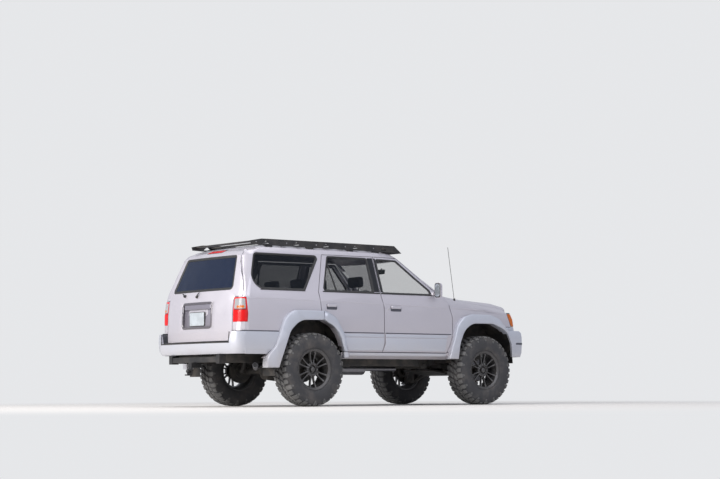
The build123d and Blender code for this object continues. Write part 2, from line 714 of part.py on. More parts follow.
def wishbone(pivot_z, z, pivot_y, spread):
    """An A-arm that slopes from its two frame pivots out to a level eye on the kingpin axis."""
    half_thick, eye_y = arm_thick / 2, kingpin_y - 110
    slope = [(pivot_y - 5, pivot_z + half_thick), (eye_y, z + half_thick), (kingpin_y + 40, z + half_thick),
             (kingpin_y + 40, z - half_thick), (eye_y, z - half_thick), (pivot_y - 5, pivot_z - half_thick)]
    with BuildPart() as arm:
        with BuildSketch(Plane.XY.offset(up(z) - pivot_drop)):
            Polygon((along(wheelbase - spread), pivot_y), (along(wheelbase - spread + 62), pivot_y),
                    (along(wheelbase), kingpin_y - 120), (along(wheelbase + spread - 62), pivot_y),
                    (along(wheelbase + spread), pivot_y), (along(wheelbase + 24), kingpin_y),
                    (along(wheelbase - 24), kingpin_y), align=None)
            with Locations((along(wheelbase), kingpin_y)):
                RegularPolygon(27, shaft_sides)
                RegularPolygon(11, shaft_sides, mode=Mode.SUBTRACT)
        extrude(amount=2 * pivot_drop)
        with BuildSketch(Plane.YZ.offset(along(wheelbase) - pivot_drop)):
            Polygon(*[(y, up(height)) for y, height in slope], align=None)
        extrude(amount=2 * pivot_drop, mode=Mode.INTERSECT)
    return arm.part


arm_gap = 6
lower_arm_z = hub_height - ball_reach - arm_thick / 2 - arm_gap
upper_arm_z = hub_height + ball_reach + arm_thick / 2 + arm_gap
coil_over = tube([(wheelbase, 560, lower_arm_z + 14), (wheelbase - 10, 440, 330)], 36)
lower_arm = wishbone(lower_pivot_z, lower_arm_z, lower_pivot_y, lower_spread)
upper_arm = wishbone(upper_arm_z, upper_arm_z, 396, 130)
front_left = less(joined(lower_arm, upper_arm, coil_over), frame.part)
front_suspension = both_sides(front_left)
save(front_suspension, "front_suspension")
liners = less(liners, front_left, frame.part)
save(both_sides(liners), "wheelhouses")

# Steering knuckles: an upright on the kingpin, with the hub, brake disc, caliper and steering arm
hub_steps = [(kingpin_y - 100, kingpin_y - 40, 62), (kingpin_y - 50, kingpin_y - 28, 138),
             (kingpin_y - 28, kingpin_y + 92, 34)]
with BuildPart() as knuckle:
    add(box_at((wheelbase - 34, wheelbase + 34), (kingpin_y - 96, kingpin_y - 58),
               (hub_height - ball_reach, hub_height + ball_reach)))
    for z in (hub_height - ball_reach + 12, hub_height + ball_reach - 12):
        add(box_at((wheelbase - 24, wheelbase + 24), (kingpin_y - 96, kingpin_y), (z - 12, z + 12)))
        with Locations((along(wheelbase), kingpin_y, up(z))):
            Cylinder(24, 24)
    with Locations((along(wheelbase), kingpin_y, hub_z)):
        Cylinder(10, 2 * (ball_reach + arm_thick + 4))
        Cylinder(60, 2 * (ball_reach - 24), mode=Mode.SUBTRACT)
    add(turned_at(wheelbase, hub_height, hub_steps))
    add(box_at((wheelbase - 150, wheelbase - 92), (kingpin_y - 78, kingpin_y - 6),
               (hub_height - 60, hub_height + 60)))
    add(box_at((wheelbase - 150, wheelbase - 20), (kingpin_y - 96, kingpin_y - 70),
               (hub_height - 74, hub_height - 44)))
save(knuckle.part, "knuckle_left")
save(mirror(knuckle.part, about=Plane.XZ), "knuckle_right")

# Engine, gearbox, transfer case and shafts, in a line under the floor
engine = joined(box_at((2240, 2780), (-210, 210), (40, 470)), box_at((2300, 2720), (-150, 150), (-40, 40)))
gearbox = joined(box_at((1760, 2240), (-130, 130), (-90, 20)), box_at((1390, 1760), (-210, 110), (-110, 10)))
rear_shaft = tube([(150, 0, hub_height), (1390, 0, -70)], 32)
front_diff = box_at((2560, 2760), (-190, 20), (-150, -48))
front_shaft = tube([(1760, -165, -60), (2560, -120, -95)], 24)
driveline = joined(engine, gearbox, rear_shaft, front_diff, front_shaft)
driveline = less(driveline, frame.part, rear_axle)
save(driveline, "engine_and_driveline")

tank = box_at((650, 1180), (70, 430), (-165, 20))
with BuildPart() as fuel_tank:
    add(tank)
    fillet(fuel_tank.edges().filter_by(Axis.Z), 40)
    chamfer(fuel_tank.faces().sort_by(Axis.Z)[0].edges(), 20)
save(fuel_tank.part, "fuel_tank")
skid = side_prism([(2330, -120), (2700, -178), (3080, -60), (3330, 40), (3338, 28), (3090, -76), (2705, -194),
                   (2326, -136)], inner=0, outer=300)
skid_plate = both_sides(skid)
save(skid_plate, "skid_plate")
exhaust_path = [(1700, -290, -112), (1180, -300, -112), (480, -300, -112), (250, -300, 88), (-190, -300, 92),
                (-440, -370, -90), (-560, -500, -112), (-700, -690, -80)]
silencer_path = [(1170, -300, -112), (720, -300, -112)]
exhaust = joined(tube(exhaust_path, 27), tube(silencer_path, 74))
save(exhaust, "exhaust")

# Tow hitch: a cross tube between brackets, a receiver and a drop mount with its ball
hitch_z = -14
receiver_size, receiver_wall = 63, 7
receiver_top = hitch_z - 28
receiver_hole_half = receiver_size / 2 - receiver_wall
ball_x, ball_radius, ball_z, tongue_top = -1168, 25, -143, -180
hitch_bar = joined(box_at((-1085, -1025), (-500, 500), (hitch_z - 30, hitch_z + 30)),
                   both_sides(box_at((-1090, -1001), (465, 535), (-60, 40))),
                   box_at((-1122, -1002), (-receiver_size / 2, receiver_size / 2),
                          (receiver_top - receiver_size, receiver_top)))
receiver_hole = box_at((-1200, -1040), (-receiver_hole_half, receiver_hole_half),
                       (receiver_top + receiver_wall - receiver_size, receiver_top - receiver_wall))
shank = box_at((-1135, -1035), (-21, 21), (-95, -53))
drop_plate = box_at((-1140, -1126), (-30, 30), (-195, -50))
tongue = box_at((-1195, -1130), (-27, 27), (-195, tongue_top))
with BuildPart() as ball:
    with BuildSketch(Plane.XZ):
        with BuildLine():
            flat, neck = 9, 13
            rise = (ball_radius ** 2 - flat ** 2) ** 0.5
            drop = (ball_radius ** 2 - neck ** 2) ** 0.5
            foot = tongue_top - ball_z - 5
            Polyline((flat, rise), (0, rise), (0, foot), (neck, foot), (neck, -drop))
            ThreePointArc((neck, -drop), (ball_radius, 0), (flat, rise))
        make_face()
    revolve(axis=Axis.Z)
hitch = joined(less(hitch_bar, receiver_hole), shank, drop_plate, tongue,
               ball.part.moved(Location((along(ball_x), 0, up(ball_z)))))
save(hitch, "tow_hitch")

# Roof rack: two cut-out side plates, cross slats, a front fairing and feet on the roof
rack_y, plate_thick = 622, 6
plate_line = [(-712, 1322), (-724, 1362), (-560, 1391), (1432, 1393), (1548, 1306), (1400, 1312),
              (-560, 1316)]
with BuildPart() as rack:
    add(side_prism(plate_line, inner=rack_y - plate_thick, outer=rack_y))
    for index in range(5):
        x = -500 + index * 440
        add(side_prism([(x - 52, 1332), (x - 8, 1366), (x + 8, 1366), (x + 52, 1332)]), mode=Mode.SUBTRACT)
    mirror(about=Plane.XZ)
    for index in range(10):
        x = -640 + index * 218
        add(box_at((x - 32, x + 32), (plate_thick - rack_y, rack_y - plate_thick), (1352, 1368)))
    add(both_sides(side_prism([(1420, 1380), (1430, 1389), (1540, 1306), (1528, 1304)],
                              outer=rack_y - plate_thick)))
    for x in (-450, 150, 750, 1150):
        foot = box_at((x - 45, x + 45), (rack_y - 56, rack_y - plate_thick), (1240, 1336))
        add(both_sides(less(foot, house_block)))
save(rack.part, "roof_rack")

# Cabin: seats, dashboard, steering wheel
front_seat_y = 370


def seat(x, y, width, base, back_top, head_count):
    """A cushion, a raked back and headrests, as one padded piece."""
    with BuildPart() as chair:
        with BuildSketch(Plane.XZ.offset(-(y + width / 2))):
            Polygon(*placed([(x - 40, base), (x + 500, base), (x + 530, 380), (x + 90, 350),
                             (x - 40, back_top), (x - 150, back_top), (x - 70, base + 60)]), align=None)
        extrude(amount=width)
        chamfer(chair.faces().filter_by(Axis.Y).edges(), 18)
        for index in range(head_count):
            head_y = y + (index - (head_count - 1) / 2) * width / head_count
            add(box_at((x - 150, x - 60), (head_y - 120, head_y + 120), (back_top + 20, back_top + 170)))
            for post_y in (head_y - 53, head_y + 53):
                add(box_at((x - 112, x - 98), (post_y - 7, post_y + 7), (back_top - 10, back_top + 30)))
    return chair.part


front_seats = joined(seat(1130, front_seat_y, 500, 66, 850, 1), seat(1130, -front_seat_y, 500, 66, 850, 1))
rear_seat = seat(330, 0, 1080, 220, 800, 2)
seats = joined(front_seats, rear_seat)
save(seats, "seats")
with BuildPart() as dashboard:
    with BuildSketch(Plane.XZ.offset(-690)):
        Polygon(*placed([(1740, 560), (1725, 700), (1800, 752), (2010, 752), (2010, 400), (1900, 400)]),
                align=None)
    extrude(amount=1380)
    chamfer(dashboard.edges().filter_by(Axis.Y).sort_by(Axis.Z)[-2:], 20)
save(dashboard.part, "dashboard")
wheel_tilt = 62
with BuildPart() as steering_wheel:
    with BuildSketch(Plane.XY.offset(-12)):
        RegularPolygon(196, 24)
        RegularPolygon(168, 24, mode=Mode.SUBTRACT)
    extrude(amount=24)
    rims = steering_wheel.faces().filter_by(Axis.Z)
    chamfer(rims.edges(), 7)
    Cylinder(44, 26)
    with PolarLocations(100, 3):
        Box(172, 30, 12)
    with Locations((0, 0, -62)):
        Cylinder(22, 130)
steering_place = Location((along(1600), front_seat_y, up(650)))
steering = steering_wheel.part.rotate(Axis.Y, -wheel_tilt).moved(steering_place)
save(less(steering, dashboard.part), "steering_wheel")
antenna_y, antenna_foot_x, antenna_top_x = -738, 2308, 2205
mast = tube([(antenna_foot_x, antenna_y, 736), (antenna_top_x, antenna_y, 1405)], 3)
with BuildPart() as antenna:
    add(mast)
    with Locations((along(antenna_foot_x), antenna_y, up(748))):
        Cylinder(12, 40)
save(less(antenna.part, nose_block(0)), "antenna")
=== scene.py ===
import json
import math
import bmesh
import bpy
import numpy as np
from mathutils import Matrix, Vector

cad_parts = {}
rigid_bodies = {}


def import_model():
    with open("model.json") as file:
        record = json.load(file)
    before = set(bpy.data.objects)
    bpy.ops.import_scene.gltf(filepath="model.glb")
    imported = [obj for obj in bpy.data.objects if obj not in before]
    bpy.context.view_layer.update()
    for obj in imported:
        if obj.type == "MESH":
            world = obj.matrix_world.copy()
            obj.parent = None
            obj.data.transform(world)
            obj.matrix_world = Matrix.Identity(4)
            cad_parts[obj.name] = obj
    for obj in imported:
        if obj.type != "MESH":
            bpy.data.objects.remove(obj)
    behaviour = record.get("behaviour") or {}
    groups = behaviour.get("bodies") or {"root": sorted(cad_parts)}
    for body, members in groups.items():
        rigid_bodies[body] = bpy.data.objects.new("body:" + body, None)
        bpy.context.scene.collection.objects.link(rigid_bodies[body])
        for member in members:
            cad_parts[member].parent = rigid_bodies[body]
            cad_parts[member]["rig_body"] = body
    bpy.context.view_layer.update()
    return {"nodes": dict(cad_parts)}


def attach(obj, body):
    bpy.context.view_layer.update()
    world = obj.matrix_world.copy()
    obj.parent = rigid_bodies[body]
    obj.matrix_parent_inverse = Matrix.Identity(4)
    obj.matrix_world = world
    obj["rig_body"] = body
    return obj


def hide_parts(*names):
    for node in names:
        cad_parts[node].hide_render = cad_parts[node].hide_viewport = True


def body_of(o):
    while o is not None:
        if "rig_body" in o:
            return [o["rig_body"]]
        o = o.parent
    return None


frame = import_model()
nodes = frame["nodes"]

# Metres in the car's frame: X forward, Y to its left, Z up from the ground.
car = {"rearAxleX": -1.160, "frontAxleX": 1.515, "hubZ": 0.430, "wheelY": 0.772, "sillZ": 0.560}
sides = (("left", 1), ("right", -1))

# The body's surface at heights above the sill: half widths, and lengths forward of the rear axle
surfaces = {
    "tub": {
        "taper": 0.138, "height": [0, .034, .084, .296, .310, .520, .672, .782, .880],
        "half": [.800, .846, .858, .861, .848, .850, .846, .828, .800],
        "waist": [2.70, 2.70, 2.70, 2.70, 2.70, 2.65, 2.60, 2.50, 2.50],
        "front": [3.250, 3.265, 3.280, 3.330, 3.330, 3.290, 3.200, 3.050, 2.980],
        "frontMiddle": [3.350, 3.370, 3.390, 3.420, 3.420, 3.385, 3.330, 3.210, 3.130],
        "frontRound": [.07, .07, .07, .07, .07, .07, .08, .09, .09],
        "rear": [-.960, -.975, -.985, -.990, -.990, -.985, -.968, -.950, -.920],
        "rearMiddle": [-1.000, -1.030, -1.045, -1.065, -1.065, -1.060, -1.045, -1.008, -.960],
        "rearRound": [.11, .11, .11, .11, .11, .10, .10, .10, .10],
    },
    "house": {
        "taper": 0.17, "height": [.782, 1.000, 1.190, 1.238, 1.286, 1.314, 1.336],
        "half": [.828, .752, .685, .668, .640, .580, .420],
        "waist": [1.90, 1.50, 1.25, 1.20, 1.15, 1.10, 1.05],
        "front": [2.085, 1.790, 1.545, 1.478, 1.390, 1.290, 1.130],
        "frontMiddle": [2.270, 1.950, 1.690, 1.612, 1.500, 1.380, 1.200],
        "frontRound": [.07] * 7,
        "rear": [-.950, -.878, -.815, -.768, -.664, -.560, -.420],
        "rearMiddle": [-1.008, -.932, -.862, -.813, -.706, -.596, -.445],
        "rearRound": [.10, .10, .095, .09, .09, .09, .09],
    },
    "frontBumper": {
        "taper": 0.22, "height": [.040, .096, .209, .300, .350, .374],
        "half": [.852, .862, .866, .864, .860, .846], "waist": [3.12] * 6,
        "front": [3.392, 3.412, 3.420, 3.418, 3.406, 3.382],
        "frontMiddle": [3.490, 3.506, 3.515, 3.512, 3.498, 3.474],
        "frontRound": [.06] * 6, "rear": [2] * 6, "rearMiddle": [1.985] * 6, "rearRound": [.02] * 6,
    },
    "rearBumper": {
        "taper": 0.0, "height": [.049, .100, .200, .302], "half": [.838, .862, .868, .866],
        "waist": [2] * 4, "front": [2.6] * 4, "frontMiddle": [2.61] * 4, "frontRound": [.03] * 4,
        "rear": [-1.035, -1.058, -1.068, -1.060], "rearMiddle": [-1.090, -1.125, -1.138, -1.128],
        "rearRound": [.12, .13, .13, .13],
    },
}


def levelAt(name, z, which="tub"):
    table = surfaces[which]
    return np.interp(np.asarray(z) - car["sillZ"], table["height"], table[name])


def sideY(x, z):
    # half width at height z, drawn in by the taper forward of the waist, on the tub or the house above it
    forward = np.asarray(x) - car["rearAxleX"]
    halves = [levelAt("half", z, which)
              - surfaces[which]["taper"] * np.maximum(forward - levelAt("waist", z, which), 0)
              for which in ("tub", "house")]
    return np.where(np.asarray(z) - car["sillZ"] <= 0.782, *halves)


def rearX(y, z):
    # the tail's surface: a parabola across the car between the middle and the corner
    high = np.asarray(z) - car["sillZ"] > 0.782
    pick = lambda name: np.where(high, levelAt(name, z, "house"), levelAt(name, z, "tub"))
    share = (np.asarray(y) / pick("half")) ** 2
    return car["rearAxleX"] + pick("rearMiddle") * (1 - share) + pick("rear") * share


class Corner:
    # one corner of a plan outline at heights z: a straight flank, a small round and a wide bowed end,
    # measured as a run along the surface from the flank's last straight point
    def __init__(self, which, end, z, side):
        table, ahead = surfaces[which], "front" if end > 0 else "rear"
        self.end, self.side, self.z = end, side, np.asarray(z, float)
        tilt = table["taper"] if end > 0 else 0.0
        half, first, middle = (levelAt(name, z, which) for name in ("half", ahead, ahead + "Middle"))
        waist, self.round = levelAt("waist", z, which), levelAt(ahead + "Round", z, which)
        first, middle = first * end, middle * end
        chord = half - tilt * (first - waist)
        bow = middle - first
        self.big = (chord ** 2 + bow ** 2) / (2 * bow)
        self.back = middle - self.big
        long = math.hypot(1, tilt)
        self.normal = np.array([tilt, 1]) / long
        self.forward = np.array([1, -tilt]) / long
        depth = (half + tilt * waist) / long - self.round
        across = self.back * self.normal[0]
        run = self.back * self.forward[0] + np.sqrt((self.big - self.round) ** 2 - (depth - across) ** 2)
        self.centre = depth[..., None] * self.normal + run[..., None] * self.forward
        self.flankTurn = math.atan2(self.normal[1], self.normal[0])
        self.endTurn = np.arctan2(self.centre[..., 1], self.centre[..., 0] - self.back)
        self.arc = self.round * (self.flankTurn - self.endTurn)

    def runAtX(self, x):
        # the run at a place on the flank, or on the round where the flank has ended
        ahead = (np.asarray(x) - car["rearAxleX"]) * self.end - self.centre[..., 0]
        onRound = self.round * (self.flankTurn - np.arccos(np.clip(ahead / self.round, -1, 1)))
        return np.where(ahead < self.round * self.normal[0],
                        ahead / self.forward[0] - self.round * self.normal[0], onRound)

    def runAtY(self, y):
        # the run at a place on the end
        return self.arc + (self.endTurn - np.arcsin(np.asarray(y) / self.big)) * self.big

    def at(self, run, out):
        # the point at a run, moved out along the surface's normal
        turn = np.where(run < self.arc, self.flankTurn - np.maximum(run, 0) / self.round,
                        self.endTurn - (run - self.arc) / self.big)
        normal = np.stack([np.cos(turn), np.sin(turn)], -1)
        onArc = self.centre + self.round[..., None] * normal
        onEnd = self.big[..., None] * normal + np.stack([self.back, np.zeros_like(self.back)], -1)
        onFlank = onArc + np.minimum(run, 0)[..., None] * self.forward
        plan = np.where((run < self.arc)[..., None], onFlank, onEnd) + normal * np.asarray(out)[..., None]
        return np.stack([car["rearAxleX"] + self.end * plan[..., 0], self.side * plan[..., 1],
                         np.broadcast_to(self.z, plan.shape[:-1])], -1)


def panelAt(which, end, side, left, right, heights, depths, edge, cols=24, rows=16, rounds=0.012):
    # a plate on a corner between two runs: left and right are functions of a Corner that give them, heights
    # are its foot and top, depths how far its back and face stand off the surface, and edge rounds its rim
    (bottom, top), (under, over) = heights, depths
    share = 0.5 - 0.5 * np.cos(np.linspace(0, np.pi, rows))
    z = bottom + (top - bottom) * share
    corner = Corner(which, end, z[:, None], side)
    start, finish = left(corner), right(corner)
    fromEnd = np.minimum(z - bottom, top - z)[:, None]
    cut = rounds - np.sqrt(np.maximum(rounds ** 2 - np.maximum(rounds - fromEnd, 0) ** 2, 0))
    start, finish = start + cut, finish - cut
    t = 0.5 - 0.5 * np.cos(np.linspace(0, np.pi, cols))[None]
    run = start + (finish - start) * t
    inward = np.minimum(np.minimum(run - start, finish - run), fromEnd)
    lift = np.sqrt(np.maximum(edge ** 2 - np.maximum(edge - inward, 0) ** 2, 0)) - edge
    face = corner.at(run, over + lift)
    back = corner.at(run, np.full_like(run, under))
    return surface(np.concatenate([face, back[:, ::-1]], 1), wrapCols=True, capRows=True)


# mesh helpers
def gridFaces(rows, cols, wrapRows=False, wrapCols=False):
    # quads of a grid of points numbered row by row
    row = np.arange(rows if wrapRows else rows - 1)[:, None]
    col = np.arange(cols if wrapCols else cols - 1)[None, :]
    nextRow, nextCol = (row + 1) % rows, (col + 1) % cols
    corners = (row * cols + col, row * cols + nextCol, nextRow * cols + nextCol, nextRow * cols + col)
    return np.stack(np.broadcast_arrays(*corners), -1).reshape(-1, 4)


def surface(points, wrapRows=False, wrapCols=False, capRows=False):
    # a grid of points as one part: its points and quads and, where capped, its first and last rows as faces
    rows, cols = points.shape[:2]
    faces = gridFaces(rows, cols, wrapRows, wrapCols).tolist()
    if capRows:
        faces += [list(range(cols)), list(range((rows - 1) * cols, rows * cols))]
    return points.reshape(-1, 3), faces


def manySurfaces(points, wrapRows=False, wrapCols=False, capRows=False):
    # the same grid many times over: points is (count, rows, cols, 3)
    count, rows, cols = points.shape[:3]
    one = surface(points[0], wrapRows, wrapCols, capRows)[1]
    faces = [[k + step * rows * cols for k in face] for step in range(count) for face in one]
    return points.reshape(-1, 3), faces


def linked(name, data):
    made = bpy.data.objects.new(name, data)
    bpy.context.scene.collection.objects.link(made)
    return made


def smoothMesh(mesh, distance, sharp, outward=True):
    # points that coincide are joined, and all but edges sharper than an angle is shaded smooth
    shaped = bmesh.new()
    shaped.from_mesh(mesh)
    bmesh.ops.remove_doubles(shaped, verts=shaped.verts, dist=distance)
    if outward:
        bmesh.ops.recalc_face_normals(shaped, faces=shaped.faces)
    shaped.to_mesh(mesh)
    shaped.free()
    mesh.shade_smooth()
    mesh.set_sharp_from_angle(angle=math.radians(sharp))


def buildPiece(name, parts, material, body, replaced=(), sharp=35):
    points, faces, start = [], [], 0
    for partPoints, partFaces in parts:
        points.append(partPoints)
        faces += [[k + start for k in face] for face in partFaces]
        start += len(partPoints)
    mesh = bpy.data.meshes.new(name)
    mesh.from_pydata(np.concatenate(points).tolist(), [], faces)
    smoothMesh(mesh, 1e-6, sharp)
    piece = linked(name, mesh)
    piece.data.materials.append(material)
    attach(piece, body)
    if replaced:
        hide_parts(*replaced)
    return piece


def turned(profile, segments=96, phase=0.0):
    # a closed profile of (radius, width) turned about Y: (r sin a, w, r cos a)
    radius, width = np.array(profile, float).T
    angle = np.linspace(0, 2 * np.pi, segments, endpoint=False)[:, None] + phase
    points = np.stack([radius * np.sin(angle), np.broadcast_to(width, (segments, len(width))),
                       radius * np.cos(angle)], -1)
    return surface(points, wrapRows=True, wrapCols=True)


def placed(part, origin=(0, 0, 0), xAxis=(1, 0, 0), yAxis=(0, 1, 0), zAxis=(0, 0, 1)):
    # the part's own axes laid along three directions at an origin
    points, faces = part
    return points @ np.array([xAxis, yAxis, zAxis], float) + np.array(origin, float), faces


def roundOutline(corners, radius, steps=6):
    # each corner replaced by an arc of its radius: centre at r / sin(half the angle) along the bisector
    p = np.array(corners, float)
    before, after = np.roll(p, 1, 0) - p, np.roll(p, -1, 0) - p
    before, after = (v / np.linalg.norm(v, axis=1, keepdims=True) for v in (before, after))
    half = np.arccos(np.clip((before * after).sum(1), -1, 1)) / 2
    radius = np.broadcast_to(np.asarray(radius, float), (len(p),))
    bisector = before + after
    bisector /= np.maximum(np.linalg.norm(bisector, axis=1, keepdims=True), 1e-9)
    centre = p + bisector * (radius / np.sin(half))[:, None]
    first = p + before * (radius / np.tan(half))[:, None] - centre
    last = p + after * (radius / np.tan(half))[:, None] - centre
    sweep = np.arctan2(first[:, 0] * last[:, 1] - first[:, 1] * last[:, 0], (first * last).sum(1))
    turn = np.linspace(0, 1, steps)[None] * sweep[:, None]
    c, s = np.cos(turn)[..., None], np.sin(turn)[..., None]
    across = np.stack([-first[:, 1], first[:, 0]], 1)
    return (centre[:, None] + c * first[:, None] + s * across[:, None]).reshape(-1, 2)


def finer(outline, step):
    # points added along each run of a closed outline, no further apart than step
    p, q = np.array(outline, float), np.roll(np.array(outline, float), -1, 0)
    counts = np.maximum(np.ceil(np.linalg.norm(q - p, axis=1) / step).astype(int), 1)
    start, span = np.repeat(p, counts, 0), np.repeat(q - p, counts, 0)
    passed = np.repeat(np.cumsum(counts) - counts, counts)
    share = (np.arange(counts.sum()) - passed) / np.repeat(counts, counts)
    return start + span * share[:, None]


def outwardOf(outline):
    # unit normals of a closed outline, pointing out of it
    along = np.roll(outline, -1, 0) - np.roll(outline, 1, 0)
    length = np.maximum(np.linalg.norm(along, axis=1, keepdims=True), 1e-12)
    normal = np.stack([along[:, 1], -along[:, 0]], 1) / length
    x, y = outline.T
    area = (x * np.roll(y, -1) - y * np.roll(x, -1)).sum()
    return normal * (1 if area > 0 else -1)


def carried(outline, section, place):
    # a closed section of (outward, above the surface) carried round a closed outline and laid by place
    outline = np.array(outline, float)
    normal = outwardOf(outline)
    out, above = np.array(section, float).T
    flat = outline[:, None, :] + normal[:, None, :] * out[None, :, None]
    points = place(flat[..., 0], flat[..., 1], np.broadcast_to(above, flat.shape[:2]))
    return surface(points, wrapRows=True, wrapCols=True)


def slab(outline, low, high, edge, place, steps=3):
    # a plate over an outline, its upper rim rounded by edge: rows step inward along a quarter circle
    outline = np.array(outline, float)
    normal = outwardOf(outline)
    turn = np.linspace(0, np.pi / 2, steps)
    inset = np.concatenate([[0], edge * (1 - np.cos(turn))])
    above = np.concatenate([[low], high - edge + edge * np.sin(turn)])
    flat = outline[None] - normal[None] * inset[:, None, None]
    points = place(flat[..., 0], flat[..., 1], np.broadcast_to(above[:, None], flat.shape[:2]))
    return surface(points, wrapCols=True, capRows=True)


def flatPlace(origin, uAxis, vAxis, wAxis):
    # lays (u, v, w) along three directions from an origin
    origin, uAxis, vAxis, wAxis = (np.array(v, float) for v in (origin, uAxis, vAxis, wAxis))
    return lambda u, v, w: origin + u[..., None] * uAxis + v[..., None] * vAxis + w[..., None] * wAxis


def onSide(side):
    # lays (x, z, out) on the body's flank
    return lambda x, z, w: np.stack([x, side * (sideY(x, z) + w), z], -1)


def onTail(y, z, w):
    # lays (y, z, out) on the tail
    return np.stack([rearX(y, z) - w, y, z], -1)


def tube(path, radius, sides=12):
    # a circle of radius r(s) carried along a path, in frames turned by the path's own tangent
    path = np.array(path, float)
    tangent = np.gradient(path, axis=0)
    tangent /= np.linalg.norm(tangent, axis=1, keepdims=True)
    first = np.cross(tangent, np.eye(3)[np.argmin(np.abs(tangent).mean(0))])
    first /= np.linalg.norm(first, axis=1, keepdims=True)
    second = np.cross(tangent, first)
    angle = np.linspace(0, 2 * np.pi, sides, endpoint=False)
    reach = np.broadcast_to(np.asarray(radius, float), (len(path),))[:, None, None]
    ring = np.cos(angle)[None, :, None] * first[:, None] + np.sin(angle)[None, :, None] * second[:, None]
    return surface(path[:, None] + ring * reach, wrapCols=True, capRows=True)


def smoothPath(points, count=40):
    # a Catmull-Rom curve through the points, sampled evenly in its parameter
    p = np.array(points, float)
    p = np.concatenate([[2 * p[0] - p[1]], p, [2 * p[-1] - p[-2]]])
    t = np.linspace(0, len(p) - 3 - 1e-9, count)
    k, u = t.astype(int), (t % 1)[:, None]
    a, b, c, d = p[k], p[k + 1], p[k + 2], p[k + 3]
    return 0.5 * (2 * b + (c - a) * u + (2 * a - 5 * b + 4 * c - d) * u ** 2
                  + (3 * b - a - 3 * c + d) * u ** 3)


def cubeFaces(count):
    # the six faces of a cube from -1 to 1 as grids of points
    t = np.linspace(-1, 1, count)
    u, v = np.meshgrid(t, t, indexing="ij")
    one = np.ones_like(u)
    axes = (u, v, one), (u, -v, -one), (one, u, v), (-one, u, -v), (u, one, -v), (u, -one, v)
    return [np.stack(face, -1) for face in axes]


def roundedBlock(size, edge, tilt=0.0):
    # a box with every edge rounded: a fine cube pushed onto the box offset by edge from a smaller box
    size = np.array(size, float)
    inner = np.maximum(size / 2 - edge, 1e-5)
    c, s = math.cos(tilt), math.sin(tilt)
    parts = []
    for cube in cubeFaces(9):
        core = np.clip(cube * size / 2, -inner, inner)
        away = cube * size / 2 - core
        length = np.linalg.norm(away, axis=-1, keepdims=True)
        point = core + away / np.maximum(length, 1e-9) * edge
        parts.append(surface(point @ np.array([[c, 0, -s], [0, 1, 0], [s, 0, c]])))
    return parts


# materials
def newMaterial(name, **sockets):
    material = bpy.data.materials.new(name)
    material.use_nodes = True
    shader = material.node_tree.nodes["Principled BSDF"]
    for socket, value in sockets.items():
        shader.inputs[socket.replace("_", " ")].default_value = value
    return material, material.node_tree, shader


def addNode(tree, kind, inputs=None, **settings):
    node = tree.nodes.new("ShaderNode" + kind)
    for key, value in settings.items():
        setattr(node, key, value)
    for key, value in (inputs or {}).items():
        if isinstance(value, bpy.types.NodeSocket):
            tree.links.new(value, node.inputs[key])
        else:
            node.inputs[key].default_value = value
    return node


def objectPlace(tree):
    return addNode(tree, "TexCoord").outputs["Object"]


def objectAxis(tree, axis):
    return addNode(tree, "SeparateXYZ", {"Vector": objectPlace(tree)}).outputs[axis]


def objectNoise(tree, scale, detail=2.0, roughness=0.5, stretch=(1, 1, 1)):
    scaled = addNode(tree, "Mapping", {"Vector": objectPlace(tree), "Scale": stretch})
    inputs = {"Vector": scaled.outputs["Vector"], "Scale": scale, "Detail": detail, "Roughness": roughness}
    return addNode(tree, "TexNoise", inputs).outputs["Fac"]


def spread(tree, value, start, finish, low=0.0, high=1.0):
    inputs = {"Value": value, "From Min": start, "From Max": finish, "To Min": low, "To Max": high}
    return addNode(tree, "MapRange", inputs).outputs["Result"]


def combined(tree, first, second, operation):
    return addNode(tree, "Math", {0: first, 1: second}, operation=operation).outputs["Value"]


def ramp(tree, factor, stops):
    node = addNode(tree, "ValToRGB", {"Fac": factor})
    while len(node.color_ramp.elements) < len(stops):
        node.color_ramp.elements.new(0.5)
    for element, (position, colour) in zip(node.color_ramp.elements, stops):
        element.position, element.color = position, (*colour[:3], 1)
    return node.outputs["Color"]


def mottled(tree, factor, colour, low, high, darker, paler):
    # the colour drifting between two shades of itself with a factor
    return ramp(tree, factor,
                [(low, [c * darker for c in colour]), (high, [min(c * paler, 1) for c in colour])])


def mixColour(tree, shader, tone, over, share):
    # the base colour: a tone with another colour laid over it by a share
    mixed = addNode(tree, "Mix", {"Factor": share}, data_type="RGBA")
    tree.links.new(tone, mixed.inputs["A"])
    mixed.inputs["B"].default_value = over
    tree.links.new(mixed.outputs["Result"], shader.inputs["Base Color"])


def varyRoughness(tree, shader, factor, start, finish, low, high):
    tree.links.new(spread(tree, factor, start, finish, low, high), shader.inputs["Roughness"])


def addBump(tree, shader, height, strength, distance):
    bump = addNode(tree, "Bump", {"Height": height, "Strength": strength, "Distance": distance})
    tree.links.new(bump.outputs["Normal"], shader.inputs["Normal"])


dustColour = (0.50, 0.40, 0.30, 1)


def paintMaterial(name, colour, metallic, roughness, dustTop, dustAmount):
    # metallic lacquer: fine flakes under a clear coat, with cloudy dust thickening toward the sills
    material, tree, shader = newMaterial(name, Metallic=metallic, Coat_Weight=0.6, Coat_Roughness=0.05)
    flakes = objectNoise(tree, 1100, 1.0)
    clouds = objectNoise(tree, 5.0, 6.0, 0.65)
    low = spread(tree, objectAxis(tree, "Z"), dustTop, 0.45, 0.0, dustAmount)
    tone = mottled(tree, flakes, colour, 0.36, 0.64, 0.94, 1.05)
    mixColour(tree, shader, tone, dustColour, combined(tree, low, clouds, "MULTIPLY"))
    varyRoughness(tree, shader, clouds, 0.3, 0.7, roughness - 0.04, roughness + 0.06)
    addBump(tree, shader, flakes, 0.02, 0.0003)
    return material


